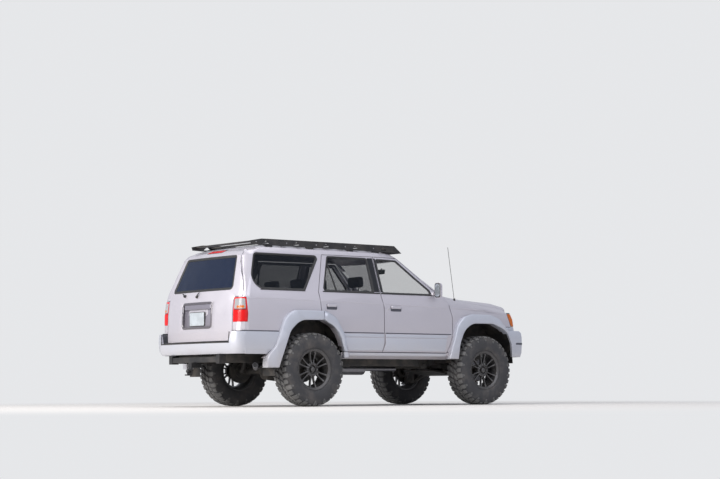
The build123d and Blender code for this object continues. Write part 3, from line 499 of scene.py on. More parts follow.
def flarePaint(name, colour, flareColour, flareStart):
    # the door's lacquer, with the moulding's colour where the surface stands wider than flareStart
    material = paintMaterial(name, colour, 0.42, 0.34, 1.1, 0.45)
    tree = material.node_tree
    shader = tree.nodes["Principled BSDF"]
    wide = combined(tree, objectAxis(tree, "Y"), 0.0, "ABSOLUTE")
    painted = shader.inputs["Base Color"].links[0].from_socket
    mixColour(tree, shader, painted, (*flareColour, 1), combined(tree, wide, flareStart, "GREATER_THAN"))
    return material


def grainMaterial(name, colour, roughness, grain=420, strength=0.25, metallic=0.0, dust=0.0, sheen=0.0):
    # moulded or powder-coated skin: fine pebble grain, patchy roughness and dust lying in it
    material, tree, shader = newMaterial(name, Metallic=metallic, Sheen_Weight=sheen)
    blotches = objectNoise(tree, 7, 5.0, 0.62)
    tone = mottled(tree, blotches, colour, 0.3, 0.7, 0.8, 1.25)
    mixColour(tree, shader, tone, dustColour, spread(tree, blotches, 0.45, 0.75, 0.0, dust))
    varyRoughness(tree, shader, blotches, 0.3, 0.7, roughness - 0.07, roughness + 0.08)
    addBump(tree, shader, objectNoise(tree, grain, 2.0), strength, 0.0006)
    return material


def glassMaterial(name, colour, alpha, streak=0.03, clearFrom=None, clearAlpha=0.2):
    # tinted pane: dark body colour, glossy skin and faint streaks of dust; clearer forward of clearFrom
    material, tree, shader = newMaterial(name, Roughness=0.03, IOR=1.45, Alpha=alpha, Specular_IOR_Level=0.28)
    if clearFrom is not None:
        ahead = combined(tree, objectAxis(tree, "X"), clearFrom, "GREATER_THAN")
        tree.links.new(spread(tree, ahead, 0.0, 1.0, alpha, clearAlpha), shader.inputs["Alpha"])
    film = objectNoise(tree, 14, 4.0, 0.6, (1, 1, 0.35))
    tone = ramp(tree, film, [(0.4, colour), (0.75, [c + streak for c in colour])])
    tree.links.new(tone, shader.inputs["Base Color"])
    varyRoughness(tree, shader, film, 0.4, 0.8, 0.02, 0.10)
    return material


def lensMaterial(name, colour, ribs=260, transmission=0.35, roughness=0.08):
    # moulded lens: fine upright ribs seen through a clear glossy face
    material, tree, shader = newMaterial(name, Roughness=roughness, IOR=1.45, Coat_Weight=0.25,
                                         Coat_Roughness=0.03, Specular_IOR_Level=0.3,
                                         Transmission_Weight=transmission)
    wave = addNode(tree, "TexWave", {"Vector": objectPlace(tree), "Scale": ribs / 6.28, "Distortion": 0.0},
                   wave_type="BANDS", bands_direction="Z").outputs["Fac"]
    tone = ramp(tree, wave, [(0.0, [c * 0.72 for c in colour]), (1.0, colour)])
    tree.links.new(tone, shader.inputs["Base Color"])
    addBump(tree, shader, wave, 0.4, 0.0012)
    return material


def metalMaterial(name, colour, roughness, grain=60, stretch=(1, 1, 1), dust=0.0, coat=0.0, metallic=1.0):
    # cast or brushed metal: streaks in roughness and tone, dust in the hollows
    material, tree, shader = newMaterial(name, Metallic=metallic, Coat_Weight=coat, Coat_Roughness=0.1)
    streaks = objectNoise(tree, grain, 5.0, 0.6, stretch)
    tone = mottled(tree, streaks, colour, 0.3, 0.7, 0.8, 1.15)
    mixColour(tree, shader, tone, dustColour, spread(tree, streaks, 0.5, 0.8, 0.0, dust))
    varyRoughness(tree, shader, streaks, 0.3, 0.7, max(roughness - 0.08, 0.02), roughness + 0.1)
    addBump(tree, shader, streaks, 0.08, 0.0006)
    return material


silver = paintMaterial("silver_lacquer", (0.50, 0.48, 0.53), 0.40, 0.36, 1.0, 0.42)
cladding = paintMaterial("cladding_lacquer", (0.47, 0.49, 0.56), 0.30, 0.40, 0.9, 0.50)
rearDoorPaint = flarePaint("silver_lacquer_with_flare", (0.50, 0.48, 0.53), (0.47, 0.49, 0.56), 0.8618)
tyreRubber = grainMaterial("tyre_rubber", (0.040, 0.040, 0.044), 0.80, grain=260, strength=0.35, dust=0.09)
treadRubber = grainMaterial("tread_rubber", (0.105, 0.104, 0.104), 0.70, grain=260, strength=0.30, dust=0.03)
softRubber = grainMaterial("seal_rubber", (0.014, 0.014, 0.015), 0.55, grain=500, strength=0.15)
blackPlastic = grainMaterial("black_plastic", (0.022, 0.022, 0.024), 0.58, grain=380, strength=0.4, dust=0.10)
greyPlastic = grainMaterial("grey_plastic", (0.16, 0.16, 0.17), 0.42, grain=500, strength=0.15)
powderCoat = grainMaterial("powder_coat", (0.018, 0.018, 0.020), 0.46, grain=700, strength=0.3, metallic=0.2,
                           dust=0.06)
chassisPaint = grainMaterial("chassis_paint", (0.030, 0.029, 0.028), 0.62, grain=180, strength=0.3, dust=0.12)
linerPlastic = grainMaterial("liner_plastic", (0.020, 0.019, 0.019), 0.75, grain=220, strength=0.4, dust=0.10)
carpet = grainMaterial("cabin_carpet", (0.045, 0.045, 0.048), 0.95, grain=900, strength=0.6, sheen=0.2)
trimPlastic = grainMaterial("trim_plastic", (0.050, 0.050, 0.054), 0.62, grain=600, strength=0.3)
wheelMetal = metalMaterial("wheel_bronze", (0.098, 0.095, 0.096), 0.42, grain=34, dust=0.03, coat=0.25,
                           metallic=0.80)
castMetal = metalMaterial("cast_iron", (0.13, 0.12, 0.115), 0.58, grain=80, dust=0.35)
dullSteel = metalMaterial("dull_steel", (0.26, 0.26, 0.28), 0.42, grain=22, stretch=(1, 6, 1), dust=0.12)
brightMetal = metalMaterial("bright_metal", (0.62, 0.60, 0.55), 0.16, grain=30, dust=0.05)
mirrorMetal = metalMaterial("mirror_face", (0.50, 0.54, 0.60), 0.16, grain=8, metallic=0.55)
darkGlass = glassMaterial("privacy_glass", (0.008, 0.014, 0.034), 0.92, streak=0.005)
sideGlass = glassMaterial("privacy_side_glass", (0.005, 0.007, 0.011), 0.46, streak=0.004)
fixedGlass = glassMaterial("fixed_panes", (0.005, 0.007, 0.011), 0.60, streak=0.004, clearFrom=-0.4,
                           clearAlpha=0.12)
clearGlass = glassMaterial("clear_glass", (0.03, 0.04, 0.045), 0.12, streak=0.01)
redLens = lensMaterial("red_lens", (0.62, 0.0015, 0.003), transmission=0.0, roughness=0.25)
clearLens = lensMaterial("clear_lens", (0.46, 0.48, 0.50), ribs=180, transmission=0.3)
amberLens = lensMaterial("amber_lens", (0.85, 0.20, 0.02), ribs=180)
glossBlack = grainMaterial("gloss_black", (0.008, 0.009, 0.012), 0.16, grain=30, strength=0.02)
# dark blue-grey for the seam lines and the sill's dark line, and painted shade in the door handles' cups and
# along the front bumper's crease
seamAndPaintedShade = grainMaterial("seam_and_painted_shade", (0.060, 0.062, 0.080), 0.50, grain=400, strength=0.1)
panelShade = paintMaterial("panel_shade", (0.095, 0.088, 0.105), 0.35, 0.34, 1.1, 0.20)
panelPale = paintMaterial("panel_pale", (0.19, 0.18, 0.22), 0.35, 0.40, 1.1, 0.25)
plateWhite = grainMaterial("plate_white", (0.33, 0.36, 0.39), 0.35, grain=90, strength=0.05)
clothWeave = grainMaterial("seat_cloth", (0.040, 0.040, 0.046), 0.92, grain=900, strength=0.5, sheen=0.3)
print("materials")

nodeFinish = {
    "body_sides": silver, "roof_panel": silver, "wings": silver, "bonnet": silver, "tailgate": silver,
    "arch_flares": cladding, "front_bumper": cladding, "rear_bumper": cladding, "tailgate_glass": darkGlass,
    "fixed_glass": fixedGlass, "tail_lamps": redLens, "front_lamps": clearLens, "grille": greyPlastic,
    "floor_and_bulkhead": carpet, "wheelhouses": linerPlastic, "frame": chassisPaint,
    "rear_axle": chassisPaint, "rear_suspension": chassisPaint, "front_suspension": chassisPaint,
    "engine_and_driveline": castMetal, "fuel_tank": chassisPaint, "skid_plate": chassisPaint,
    "exhaust": dullSteel, "tow_hitch": powderCoat, "roof_rack": powderCoat, "seats": clothWeave,
    "dashboard": trimPlastic, "steering_wheel": trimPlastic, "antenna": powderCoat,
}
rowFinish = {"front": (silver, clearGlass), "rear": (rearDoorPaint, sideGlass)}
for sideName, _ in sides:
    nodeFinish["knuckle_" + sideName] = castMetal
    for row, (paint, pane) in rowFinish.items():
        nodeFinish.update({row + "_door_" + sideName: paint, row + "_door_glass_" + sideName: pane,
                           "tyre_" + row + "_" + sideName: tyreRubber,
                           "wheel_" + row + "_" + sideName: wheelMetal})
for nodeName, material in nodeFinish.items():
    nodes[nodeName].data.materials.clear()
    nodes[nodeName].data.materials.append(material)


def skinOf(nodeName):
    # a merged copy of a sheet-metal node, shaded smooth but for its real edges, that stands for the node
    source = nodes[nodeName]
    mesh = source.data.copy()
    mesh.name = "skin_" + nodeName
    smoothMesh(mesh, 2e-6, 34, outward=False)
    piece = linked("skin_" + nodeName, mesh)
    weighted = piece.modifiers.new("normals", "WEIGHTED_NORMAL")
    weighted.keep_sharp, weighted.weight = True, 60
    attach(piece, body_of(source)[0])
    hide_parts(nodeName)


sheetMetal = {"body_sides": "paint", "roof_panel": "paint", "wings": "paint", "bonnet": "paint",
              "tailgate": "paint", "arch_flares": "moulding", "front_bumper": "moulding",
              "rear_bumper": "moulding"}
sheetMetal.update({row + "_door_" + sideName: "paint" for row in rowFinish for sideName, _ in sides})
for nodeName, slotName in sheetMetal.items():
    skinOf(nodeName)
print("node finishes")

# tyres
tyre = {
    "radius": 0.4285, "pitches": 36, "segments": 216,
    # profile: half of the carcass as (half width, radius), from the crown to the bead
    # lugs: rows of blocks, one to how many pitches, phase on each side, stations along the section, centres,
    # lengths and height of each, and whether the lean follows the side
    "lugs": [
        (2, (.00, .25), (.066, .085, .104, .122, .138), (.006, .002, 0, 0, 0), (.046, .048, .049, .049, .043),
         .0135, False),
        (2, (.50, .75), (.068, .086, .104, .121), (.006, .002, 0, 0), (.044, .047, .047, .040), .0135, False),
        (2, (.00, .25), (.146, .158, .170), (0, 0, 0), (.034, .026, .014), .0042, False),
        (1, (.28, .78), (.012, .027, .042, .057), (-.014, -.006, .005, .012), (.040, .047, .047, .038), .0135,
         True),
    ],
    "profile": [(0, .4165), (.060, .4160), (.100, .4135), (.118, .4080), (.1300, .3960), (.1375, .3720),
                (.1420, .3420), (.1430, .3120), (.1415, .2900), (.1370, .2700), (.1310, .2560),
                (.1250, .2490), (.1195, .2462), (.1160, .2450), (.1090, .2345), (.1045, .2245)],
}


def tyreSkin(arc):
    # the carcass as width and radius at a distance along its section, with the outward normal
    half = np.array(tyre["profile"])
    full = np.concatenate([half[::-1] * (-1, 1), half[1:]])
    run = np.concatenate([[0], np.cumsum(np.linalg.norm(np.diff(full, axis=0), axis=1))])
    run -= run[-1] / 2
    step = 0.004
    at = lambda s: np.stack([np.interp(s, run, full[:, 0]), np.interp(s, run, full[:, 1])], -1)
    point, tangent = at(arc), at(arc + step) - at(arc - step)
    tangent /= np.maximum(np.linalg.norm(tangent, axis=-1, keepdims=True), 1e-9)
    return point, np.stack([-tangent[..., 1], tangent[..., 0]], -1)


def lugRow(count, phase, arcs, centres, lengths, height, draft=0.0022):
    # blocks round the tyre: at each station a trapezoid of a length about a centre line, its ends sloped down
    arcs, centres, lengths = (np.array(v, float) for v in (arcs, centres, lengths))
    arcs = np.concatenate([[arcs[0] - draft], arcs, [arcs[-1] + draft]])
    centres, lengths = (np.concatenate([[v[0]], v, [v[-1]]]) for v in (centres, lengths))
    lift = np.concatenate([[0], np.ones(len(arcs) - 2), [0]])
    across = np.array([-0.5, -0.5, -0.17, 0.17, 0.5, 0.5])
    up = np.array([0, 1, 1, 1, 1, 0.0])
    slope = np.array([-1, 0, 0, 0, 0, 1.0]) * draft
    offset = centres[:, None] + lengths[:, None] * across[None] + slope[None]
    rise = lift[:, None] * up[None] * height - (1 - lift[:, None] * up[None]) * 0.002
    point, normal = tyreSkin(arcs)
    width = point[:, None, 0] + normal[:, None, 0] * rise
    radius = point[:, None, 1] + normal[:, None, 1] * rise
    turn = (np.arange(count)[:, None, None] + phase) * 2 * np.pi / count + offset[None] / tyre["radius"]
    points = np.stack([radius * np.sin(turn), np.broadcast_to(width, turn.shape), radius * np.cos(turn)], -1)
    part = manySurfaces(points, capRows=True)
    rows, cols = points.shape[1:3]
    underside = [[k * rows * cols + r * cols for r in range(rows)]
                 + [k * rows * cols + r * cols + cols - 1 for r in reversed(range(rows))]
                 for k in range(count)]
    return part[0], part[1] + underside


def tyreParts():
    arc = np.linspace(-0.36, 0.36, 145)
    point = tyreSkin(arc)[0]
    point = point[point[:, 1] > 0.2250]
    # two raised rings on each sidewall
    rings = 0.0007 * (np.abs(point[:, 1] - 0.372) < 0.0016) + 0.0009 * (np.abs(point[:, 1] - 0.282) < 0.0025)
    width = point[:, 0] + np.sign(point[:, 0]) * rings
    profile = np.stack([point[:, 1], width], -1)
    closing = [(0.2240, 0.1035), (0.2240, -0.1035)]
    carcass = turned(np.concatenate([profile, closing]), tyre["segments"])
    parts = []
    for direction in (1, -1):
        for share, phases, stations, centres, lengths, height, handed in tyre["lugs"]:
            stations, centres, lengths = (np.array(v)[::direction] for v in (stations, centres, lengths))
            parts.append(lugRow(tyre["pitches"] // share, phases[direction < 0], stations * direction,
                                centres * (direction if handed else 1), lengths, height))
    return [carcass], parts


def atWheel(parts, axleX, side):
    # wheel parts are made about the origin, outer face toward +Y, and turned half round for the right side
    centre = np.array([axleX, side * car["wheelY"], car["hubZ"]])
    return [(points * (side, side, 1) + centre, faces) for points, faces in parts]


axles = {"front": car["frontAxleX"], "rear": car["rearAxleX"]}
wheelPlaces = [(row + "_" + sideName, axleX, side) for row, axleX in axles.items()
               for sideName, side in sides]
carcassParts, lugParts = tyreParts()
for place, axleX, side in wheelPlaces:
    buildPiece("mudTyre_" + place, atWheel(carcassParts, axleX, side), tyreRubber, "wheel_" + place,
               ["tyre_" + place])
    buildPiece("treadLugs_" + place, atWheel(lugParts, axleX, side), treadRubber, "wheel_" + place)
print("tyres")

# wheels
wheel = {
    "lip": 0.2430, "half": 0.1178, "spokePairs": 6, "pairAngle": 11, "spokeWidth": 0.0175,
    "spokeReach": (0.066, 0.2125), "face": 0.088, "boltCircle": 0.0699, "nuts": 6,
}


def spokeParts():
    # a rib from the hub ring to the rim: a rounded section whose width, depth and face follow the radius
    radius = np.linspace(*wheel["spokeReach"], 16)
    share = (radius - radius[0]) / (radius[-1] - radius[0])
    face = wheel["face"] + 0.004 - 0.022 * np.sin(np.pi * share ** 0.8) * 0.55 + 0.004 * share
    depth = 0.040 - 0.012 * share
    width = wheel["spokeWidth"] * (1.15 - 0.25 * np.sin(np.pi * share)) + 0.010 * share ** 6
    around = np.linspace(0, 2 * np.pi, 20, endpoint=False) + np.pi / 4
    power = lambda v: np.sign(v) * np.abs(v) ** 0.45
    across = width[:, None] / 2 * power(np.cos(around))[None]
    forward = (face - depth / 2)[:, None] + depth[:, None] / 2 * power(np.sin(around))[None]
    parts = []
    for pair in range(wheel["spokePairs"]):
        for lean in (-1, 1):
            turn = math.radians(360 / wheel["spokePairs"] * pair + lean * wheel["pairAngle"])
            x = radius[:, None] * math.sin(turn) + across * math.cos(turn)
            z = radius[:, None] * math.cos(turn) - across * math.sin(turn)
            parts.append(surface(np.stack([x, forward, z], -1), wrapCols=True, capRows=True))
    return parts


def hexNut(turn):
    # a wheel nut: six-sided, domed and seated in a round pocket
    profile = (0, .030), (.006, .0295), (.0092, .026), (.0105, .022), (.0105, 0), (0, 0)
    angle = np.linspace(0, 2 * np.pi, 7)[:-1]
    radius, rise = np.array(profile).T
    points = np.stack([radius[:, None] * np.cos(angle), np.broadcast_to(rise[:, None], (6, 6)),
                       radius[:, None] * np.sin(angle)], -1)
    part = surface(points, wrapCols=True)
    centre = (wheel["boltCircle"] * math.sin(turn), wheel["face"] - 0.036,
              wheel["boltCircle"] * math.cos(turn))
    return part[0] + np.array(centre), part[1]


def wheelParts():
    lip, half, face = wheel["lip"], wheel["half"], wheel["face"]
    barrel = turned([
        (.2340, -half), (lip, -half), (lip, -half + .005), (.2222, -.106), (.2212, -.078), (.1975, -.044),
        (.1960, .056), (.2200, .080), (.2220, .1055), (lip - .0006, half - .0055), (lip, half - .003),
        (lip - .0012, half), (.2372, half), (.2362, half - .0016), (.2346, half - .0016), (.2336, half),
        (.2290, half - .0012), (.2262, half - .0040), (.2245, half - .0040), (.2215, half - .0056),
        (.2150, half - .0090), (.2110, half - .0112), (.2088, half - .0140), (.2075, half - .024),
        (.2062, half - .040), (.1900, .040), (.1900, -.038), (.2120, -.072)], 144)
    hub = turned([
        (.0, face - .050), (.0, face - .026), (.030, face - .026), (.034, face - .030), (.046, face - .030),
        (.050, face - .012), (.054, face - .008), (.078, face - .006), (.083, face - .010),
        (.086, face - .020), (.086, face - .048), (.060, face - .056)], 96)
    cap = turned([(.0, face + .004), (.018, face + .0035), (.028, face + .001), (.0305, face - .004),
                  (.031, face - .026), (.0, face - .026)], 64)
    ridge = turned([(.0605, face - .008), (.0625, face - .0015), (.0665, face - .0015), (.0685, face - .008)],
                   96)
    return [barrel, hub, cap, ridge] + spokeParts()


oneWheel = wheelParts()
nutParts = [hexNut(math.radians(60 * k + 30)) for k in range(wheel["nuts"])]
valve = [tube([(0.0, wheel["half"] - .030, .203), (0.0, wheel["half"] - .012, .200),
               (0.0, wheel["half"] + .001, .196)], [.004, .0035, .003], 10)]
for place, axleX, side in wheelPlaces:
    buildPiece("alloyWheel_" + place, atWheel(oneWheel, axleX, side), wheelMetal, "wheel_" + place,
               ["wheel_" + place])
    buildPiece("wheelNuts_" + place, atWheel(nutParts + valve, axleX, side), dullSteel, "wheel_" + place)
print("wheels")


def inCar(points):
    # lengths forward of the rear axle and heights above the sill, as X and Z
    return np.array(points, float) + (car["rearAxleX"], car["sillZ"])


def atCar(points):
    # lengths forward of the rear axle, widths and heights above the sill, as X, Y and Z
    return np.array(points, float) + (car["rearAxleX"], 0, car["sillZ"])


def aboveSill(*heights):
    return tuple(height + car["sillZ"] for height in heights)


def boxInCar(start, finish, low, high):
    return inCar([(start, low), (start, high), (finish, high), (finish, low)])


def bodyOf(part, sideName):
    # the moving body that carries a part: a door, or the car itself
    return part + "_" + sideName if part.endswith("_door") else "body"


def toX(x):
    # a run that ends at a length forward of the rear axle
    return lambda corner: corner.runAtX(car["rearAxleX"] + x)


def toY(y):
    return lambda corner: corner.runAtY(y)


# seals, pillars and belt strips round the side windows
windows = {
    "seal": [(-.016, -.0085), (-.016, -.0060), (-.005, .0010), (.006, .0022), (.0085, .0012), (.0085, -.0020),
             (.0, -.0095)],
    "front_door": {"line": [(1.082, 1.210), (1.432, 1.206), (1.850, .848), (1.850, .790), (1.082, .790)],
                   "round": .030},
    "rear_door": {"line": [(.348, 1.215), (.952, 1.215), (.952, .795), (.185, .795)], "round": .030},
    "quarter": {"line": [(-.712, 1.215), (.212, 1.215), (-.088, .796), (-.866, .796)],
                "round": [.055, .03, .03, .14]},
    "pillars": {"rear_door": [(.955, .803), (.955, 1.222), (1.037, 1.222), (1.037, .803)],
                "front_door": [(1.053, .803), (1.053, 1.222), (1.079, 1.222), (1.079, .803)]},
    "belts": {"rear_door": [(.168, .781), (.180, .797), (1.037, .797), (1.037, .781)],
              "front_door": [(1.053, .781), (1.053, .797), (1.866, .794), (1.880, .781)],
              "body": [(-.728, .781), (-.722, .794), (-.080, .794), (-.086, .781)]},
    "divider": [(.372, .799), (.306, 1.212), (.326, 1.212), (.394, .799)],
    "beltHeight": .0055,
}


def windowTrim():
    for sideName, side in sides:
        lay = onSide(side)
        for door in ("front_door", "rear_door", "quarter"):
            outline = finer(roundOutline(inCar(windows[door]["line"]), windows[door]["round"], 9), .03)
            buildPiece("windowSeal_" + door + "_" + sideName, [carried(outline, windows["seal"], lay)],
                       softRubber, bodyOf(door, sideName))
        for door, corners in windows["pillars"].items():
            parts = [slab(roundOutline(inCar(corners), .006), -.001, .0014, .0008, lay)]
            buildPiece("pillarTrim_" + door + "_" + sideName, parts, glossBlack, door + "_" + sideName)
        for door, corners in windows["belts"].items():
            outline = finer(roundOutline(inCar(corners), .006, 5), .05)
            buildPiece("beltStrip_" + door + "_" + sideName,
                       [slab(outline, -.006, windows["beltHeight"], .003, lay, 5)], softRubber,
                       bodyOf(door, sideName))
        bar = slab(roundOutline(inCar(windows["divider"]), .003), -.0078, -.0010, .002, lay)
        buildPiece("windowDivider_" + sideName, [bar], softRubber, "rear_door_" + sideName)


windowTrim()
print("window trim")

# lower cladding, seam lines, the flank's crease and the sills
flank = {
    "pads": {"rear_door": [(.528, .098), (.452, .296), (1.074, .296), (1.074, .180), (1.046, .098)],
             "front_door": [(1.100, .180), (1.100, .296), (2.086, .296), (2.040, .098), (1.064, .098)],
             "body": [(-.955, .046), (-.965, .296), (-.560, .296), (-.646, .046)]},
    "padRise": .0045, "groove": (.252, .259),
    "seam": {"rear_door": (.446, 1.075), "front_door": (1.099, 2.150), "body": (-.985, -.482)},
    "seamHeights": (.303, .316), "seamRise": .0018,
    "crease": {"rear_door": [(.125, .676), (1.075, .662)], "front_door": [(1.099, .661), (2.095, .640)],
               "body": [(-.925, .688), (.100, .677)], "wings": [(2.170, .636), (2.730, .628), (3.060, .580)]},
    "creaseSection": [(-.012, -.0006), (-.007, .0004), (-.0015, .0023), (.0015, .0023), (.004, .0004),
                      (.012, -.0006)],
    "sill": [((.540, 2.055), (.036, .070), .0045, "pale"), ((.545, 2.050), (.073, .082), .0020, "dark")],
}


def runStrip(path, section, lay):
    # a section of (up, out) drawn along a path of (x, z), its ends closed
    path = np.array(path, float)
    along = np.linspace(0, 1, 40)
    steps = np.concatenate([[0], np.cumsum(np.linalg.norm(np.diff(path, axis=0), axis=1))])
    x, z = (np.interp(along * steps[-1], steps, path[:, k]) for k in (0, 1))
    up, out = np.array(section, float).T
    fade = np.minimum(1, np.minimum(along, 1 - along) * 12)[:, None]
    closed = np.concatenate([out * fade, np.full((len(along), 1), -.003)], 1)
    rise = np.concatenate([up, [0]])
    flat = np.broadcast_to(x[:, None], closed.shape), z[:, None] + rise[None]
    return surface(lay(*flat, closed), wrapCols=True, capRows=True)


def padParts(corners, lay):
    # the moulded pad in two tiers, parted by a groove along its upper third
    outline = inCar(corners)
    low, high = (value + car["sillZ"] for value in flank["groove"])
    parts = []
    for bottom, top in ((outline[:, 1].min(), low), (high, outline[:, 1].max())):
        clipped = np.stack([outline[:, 0], np.clip(outline[:, 1], bottom, top)], 1)
        keep = clipped[:, 1] == outline[:, 1]
        for k, (x, z) in enumerate(outline):
            for other in (outline[k - 1], outline[(k + 1) % len(outline)]):
                if (z - clipped[k, 1]) * (other[1] - clipped[k, 1]) < 0:
                    clipped[k, 0] = x + (other[0] - x) * (clipped[k, 1] - z) / (other[1] - z)
                    keep[k] = True
        tier = finer(roundOutline(clipped[keep], .010, 5), .06)
        parts.append(slab(tier, -.006, flank["padRise"], .004, lay, 6))
    return parts


def flankTrim():
    for sideName, side in sides:
        lay = onSide(side)
        for door, corners in flank["pads"].items():
            buildPiece("sidePad_" + door + "_" + sideName, padParts(corners, lay), cladding,
                       bodyOf(door, sideName))
        for door, (start, finish) in flank["seam"].items():
            strip = finer(boxInCar(start, finish, *flank["seamHeights"]), .08)
            buildPiece("seamLine_" + door + "_" + sideName,
                       [slab(strip, -.008, flank["seamRise"], .001, lay)], seamAndPaintedShade, bodyOf(door, sideName))
        for door, path in flank["crease"].items():
            ridge = runStrip(inCar(path), flank["creaseSection"], lay)
            buildPiece("crease_" + door + "_" + sideName, [ridge], silver, bodyOf(door, sideName), sharp=60)
        for (start, finish), (low, high), rise, tone in flank["sill"]:
            strip = finer(roundOutline(boxInCar(start, finish, low, high), .003, 3), .08)
            buildPiece("sillStrip_" + tone + "_" + sideName, [slab(strip, -.006, rise, .0018, lay)],
                       cladding if tone == "pale" else seamAndPaintedShade, "body")


flankTrim()
print("flank trim")

# door handles: a recess cup, painted dark for the shade in the recess, a paddle and a keyhole
handle = {
    "front_door": (1.185, 1.353), "rear_door": (.214, .368), "heights": (.575, .643), "cupRise": .0022,
    "paddle": (.606, .640), "paddleRise": .021, "keyRadius": .008, "keyBehind": .030, "keyHeight": .600,
}


def handleParts(start, finish, lay):
    rim = finer(roundOutline(boxInCar(start, finish, *handle["heights"]), .014, 7), .02)
    cup = slab(rim, -.004, handle["cupRise"], .0018, lay)
    bottom, top = handle["paddle"]
    lever = roundOutline(inCar([(start + .006, bottom), (start + .006, top), (finish - .010, top),
                                (finish - .018, bottom)]), .010, 7)
    return cup, slab(finer(lever, .02), .0, handle["paddleRise"], .008, lay, 7)


for sideName, side in sides:
    for door in ("front_door", "rear_door"):
        cup, lever = handleParts(*handle[door], onSide(side))
        # the cup is coloured as painted shade, the dark of the handle's recess
        buildPiece("handleCup_" + door + "_" + sideName, [cup], seamAndPaintedShade, door + "_" + sideName)
        buildPiece("handleLever_" + door + "_" + sideName, [lever], silver, door + "_" + sideName)
    centre = inCar((handle["front_door"][0] - handle["keyBehind"], handle["keyHeight"]))
    turn = np.linspace(0, 2 * np.pi, 20, endpoint=False)
    ring = centre + handle["keyRadius"] * np.stack([np.cos(turn), np.sin(turn)], 1)
    buildPiece("doorLock_" + sideName, [slab(ring, -.002, .0025, .001, onSide(side))], brightMetal,
               "front_door_" + sideName)
print("door handles")

# door mirrors: the dark bezel and the glass on each head's rear face
doorMirror = {"x": 1.866, "y": .932, "z": .848, "size": (.104, .176), "round": .028, "glass": (.088, .156)}


def mirrorParts(side):
    centre = (car["rearAxleX"] + doorMirror["x"], side * doorMirror["y"], car["sillZ"] + doorMirror["z"])
    lay = flatPlace(centre, (0, side, 0), (0, 0, 1), (-1, 0, 0))
    plates = []
    for (width, tall), low, high in ((doorMirror["size"], -.004, .0055), (doorMirror["glass"], .003, .0064)):
        corners = [(-width / 2, -tall / 2), (-width / 2, tall / 2), (width / 2, tall / 2),
                   (width / 2, -tall / 2)]
        plates.append(slab(roundOutline(corners, doorMirror["round"], 8), low, high, .0015, lay))
    return plates


for sideName, side in sides:
    bezel, glass = mirrorParts(side)
    buildPiece("mirrorBezel_" + sideName, [bezel], blackPlastic, "front_door_" + sideName)
    buildPiece("mirrorGlass_" + sideName, [glass], mirrorMetal, "front_door_" + sideName)
print("door mirrors")

# tailgate: window border, plate panel and high brake lamp
gate = {
    "window": [(-.622, .792), (-.515, 1.186), (.515, 1.186), (.622, .792)], "windowRound": .035,
    "border": [(-.020, -.0085), (-.020, -.0068), (-.004, .0012), (.007, .0024), (.010, .0012), (.010, -.002),
               (.0, -.010)],
    "panel": (.300, .362, .643),
    "frameSection": [(-.010, -.012), (-.010, .002), (-.004, .0065), (.010, .0065), (.016, .003),
                     (.017, -.004), (.0, -.014)],
    "plate": (.1525, .386, .538), "brakeLamp": (.155, 1.247, 1.276),
}
# X, Y and Z of a part that is turned to face backwards
facingTail = ((0, 0, 1), (-1, 0, 0), (0, 1, 0))
def upright(corners):
    # widths and heights above the sill, as Y and Z
    return np.array(corners, float) + (0, car["sillZ"])


def rectangle(half, low, high):
    return upright([(-half, low), (-half, high), (half, high), (half, low)])


def tailOutline(half, low, high, radius, steps):
    return finer(roundOutline(rectangle(half, low, high), radius, steps), .03)


def tailgateTrim():
    border = finer(roundOutline(upright(gate["window"]), gate["windowRound"], 8), .04)
    buildPiece("gateWindowSeal", [carried(border, gate["border"], onTail)], softRubber, "tailgate")
    half, low, high = gate["panel"]
    frameLine = tailOutline(half, low, high, .035, 8)
    buildPiece("platePanelFrame", [carried(frameLine, gate["frameSection"], onTail)], panelShade, "tailgate")
    back = lambda y, z, w: onTail(y, z, w - .024)
    backing = slab(tailOutline(half - .004, low + .004, high - .004, .033, 8), -.001, .003, .001, back)
    ledge = slab(tailOutline(half - .020, high - .070, high - .008, .012, 6), -.001, .022, .010, back, 6)
    buildPiece("platePanel", [backing, ledge], panelPale, "tailgate")
    middle = rearX(np.array(0.0), np.array(car["sillZ"] + .46)) + .012
    flat = flatPlace((middle, 0, 0), (0, 1, 0), (0, 0, 1), (-1, 0, 0))
    halfPlate, lowPlate, highPlate = gate["plate"]
    plate = slab(roundOutline(rectangle(halfPlate, lowPlate, highPlate), .010, 6), -.004, .001, .0005, flat)
    holder = slab(roundOutline(rectangle(halfPlate + .007, lowPlate - .007, highPlate + .007), .014, 6),
                  -.010, -.0005, .0008, flat)
    buildPiece("numberPlate", [plate], plateWhite, "tailgate")
    buildPiece("plateHolder", [holder], blackPlastic, "tailgate")
    screws = [placed(turned([(0, .0012), (.003, .0010), (.0042, 0), (.0042, -.002), (0, -.002)], 16),
                     (middle - .0015, y, car["sillZ"] + z), *facingTail)
              for y in (-.105, .105) for z in (lowPlate + .014, highPlate - .014)]
    buildPiece("plateScrews", screws, dullSteel, "tailgate")
    half, low, high = gate["brakeLamp"]
    lamp = slab(tailOutline(half, low, high, .010, 6), -.004, .012, .005, onTail, 5)
    buildPiece("highBrakeLamp", [lamp], redLens, "tailgate")
    housing = slab(tailOutline(half + .008, low - .006, high + .006, .012, 6), -.006, .006, .003, onTail, 4)
    buildPiece("brakeLampHousing", [housing], blackPlastic, "tailgate")


tailgateTrim()
print("tailgate trim")

# rear wiper: pivots and short arms under the window
# each pivot with the arm's reach across and up
rearWiper = {"arms": [((.020, .724), (-.045, .050)), ((.300, .742), (.050, .030))], "rise": .020}


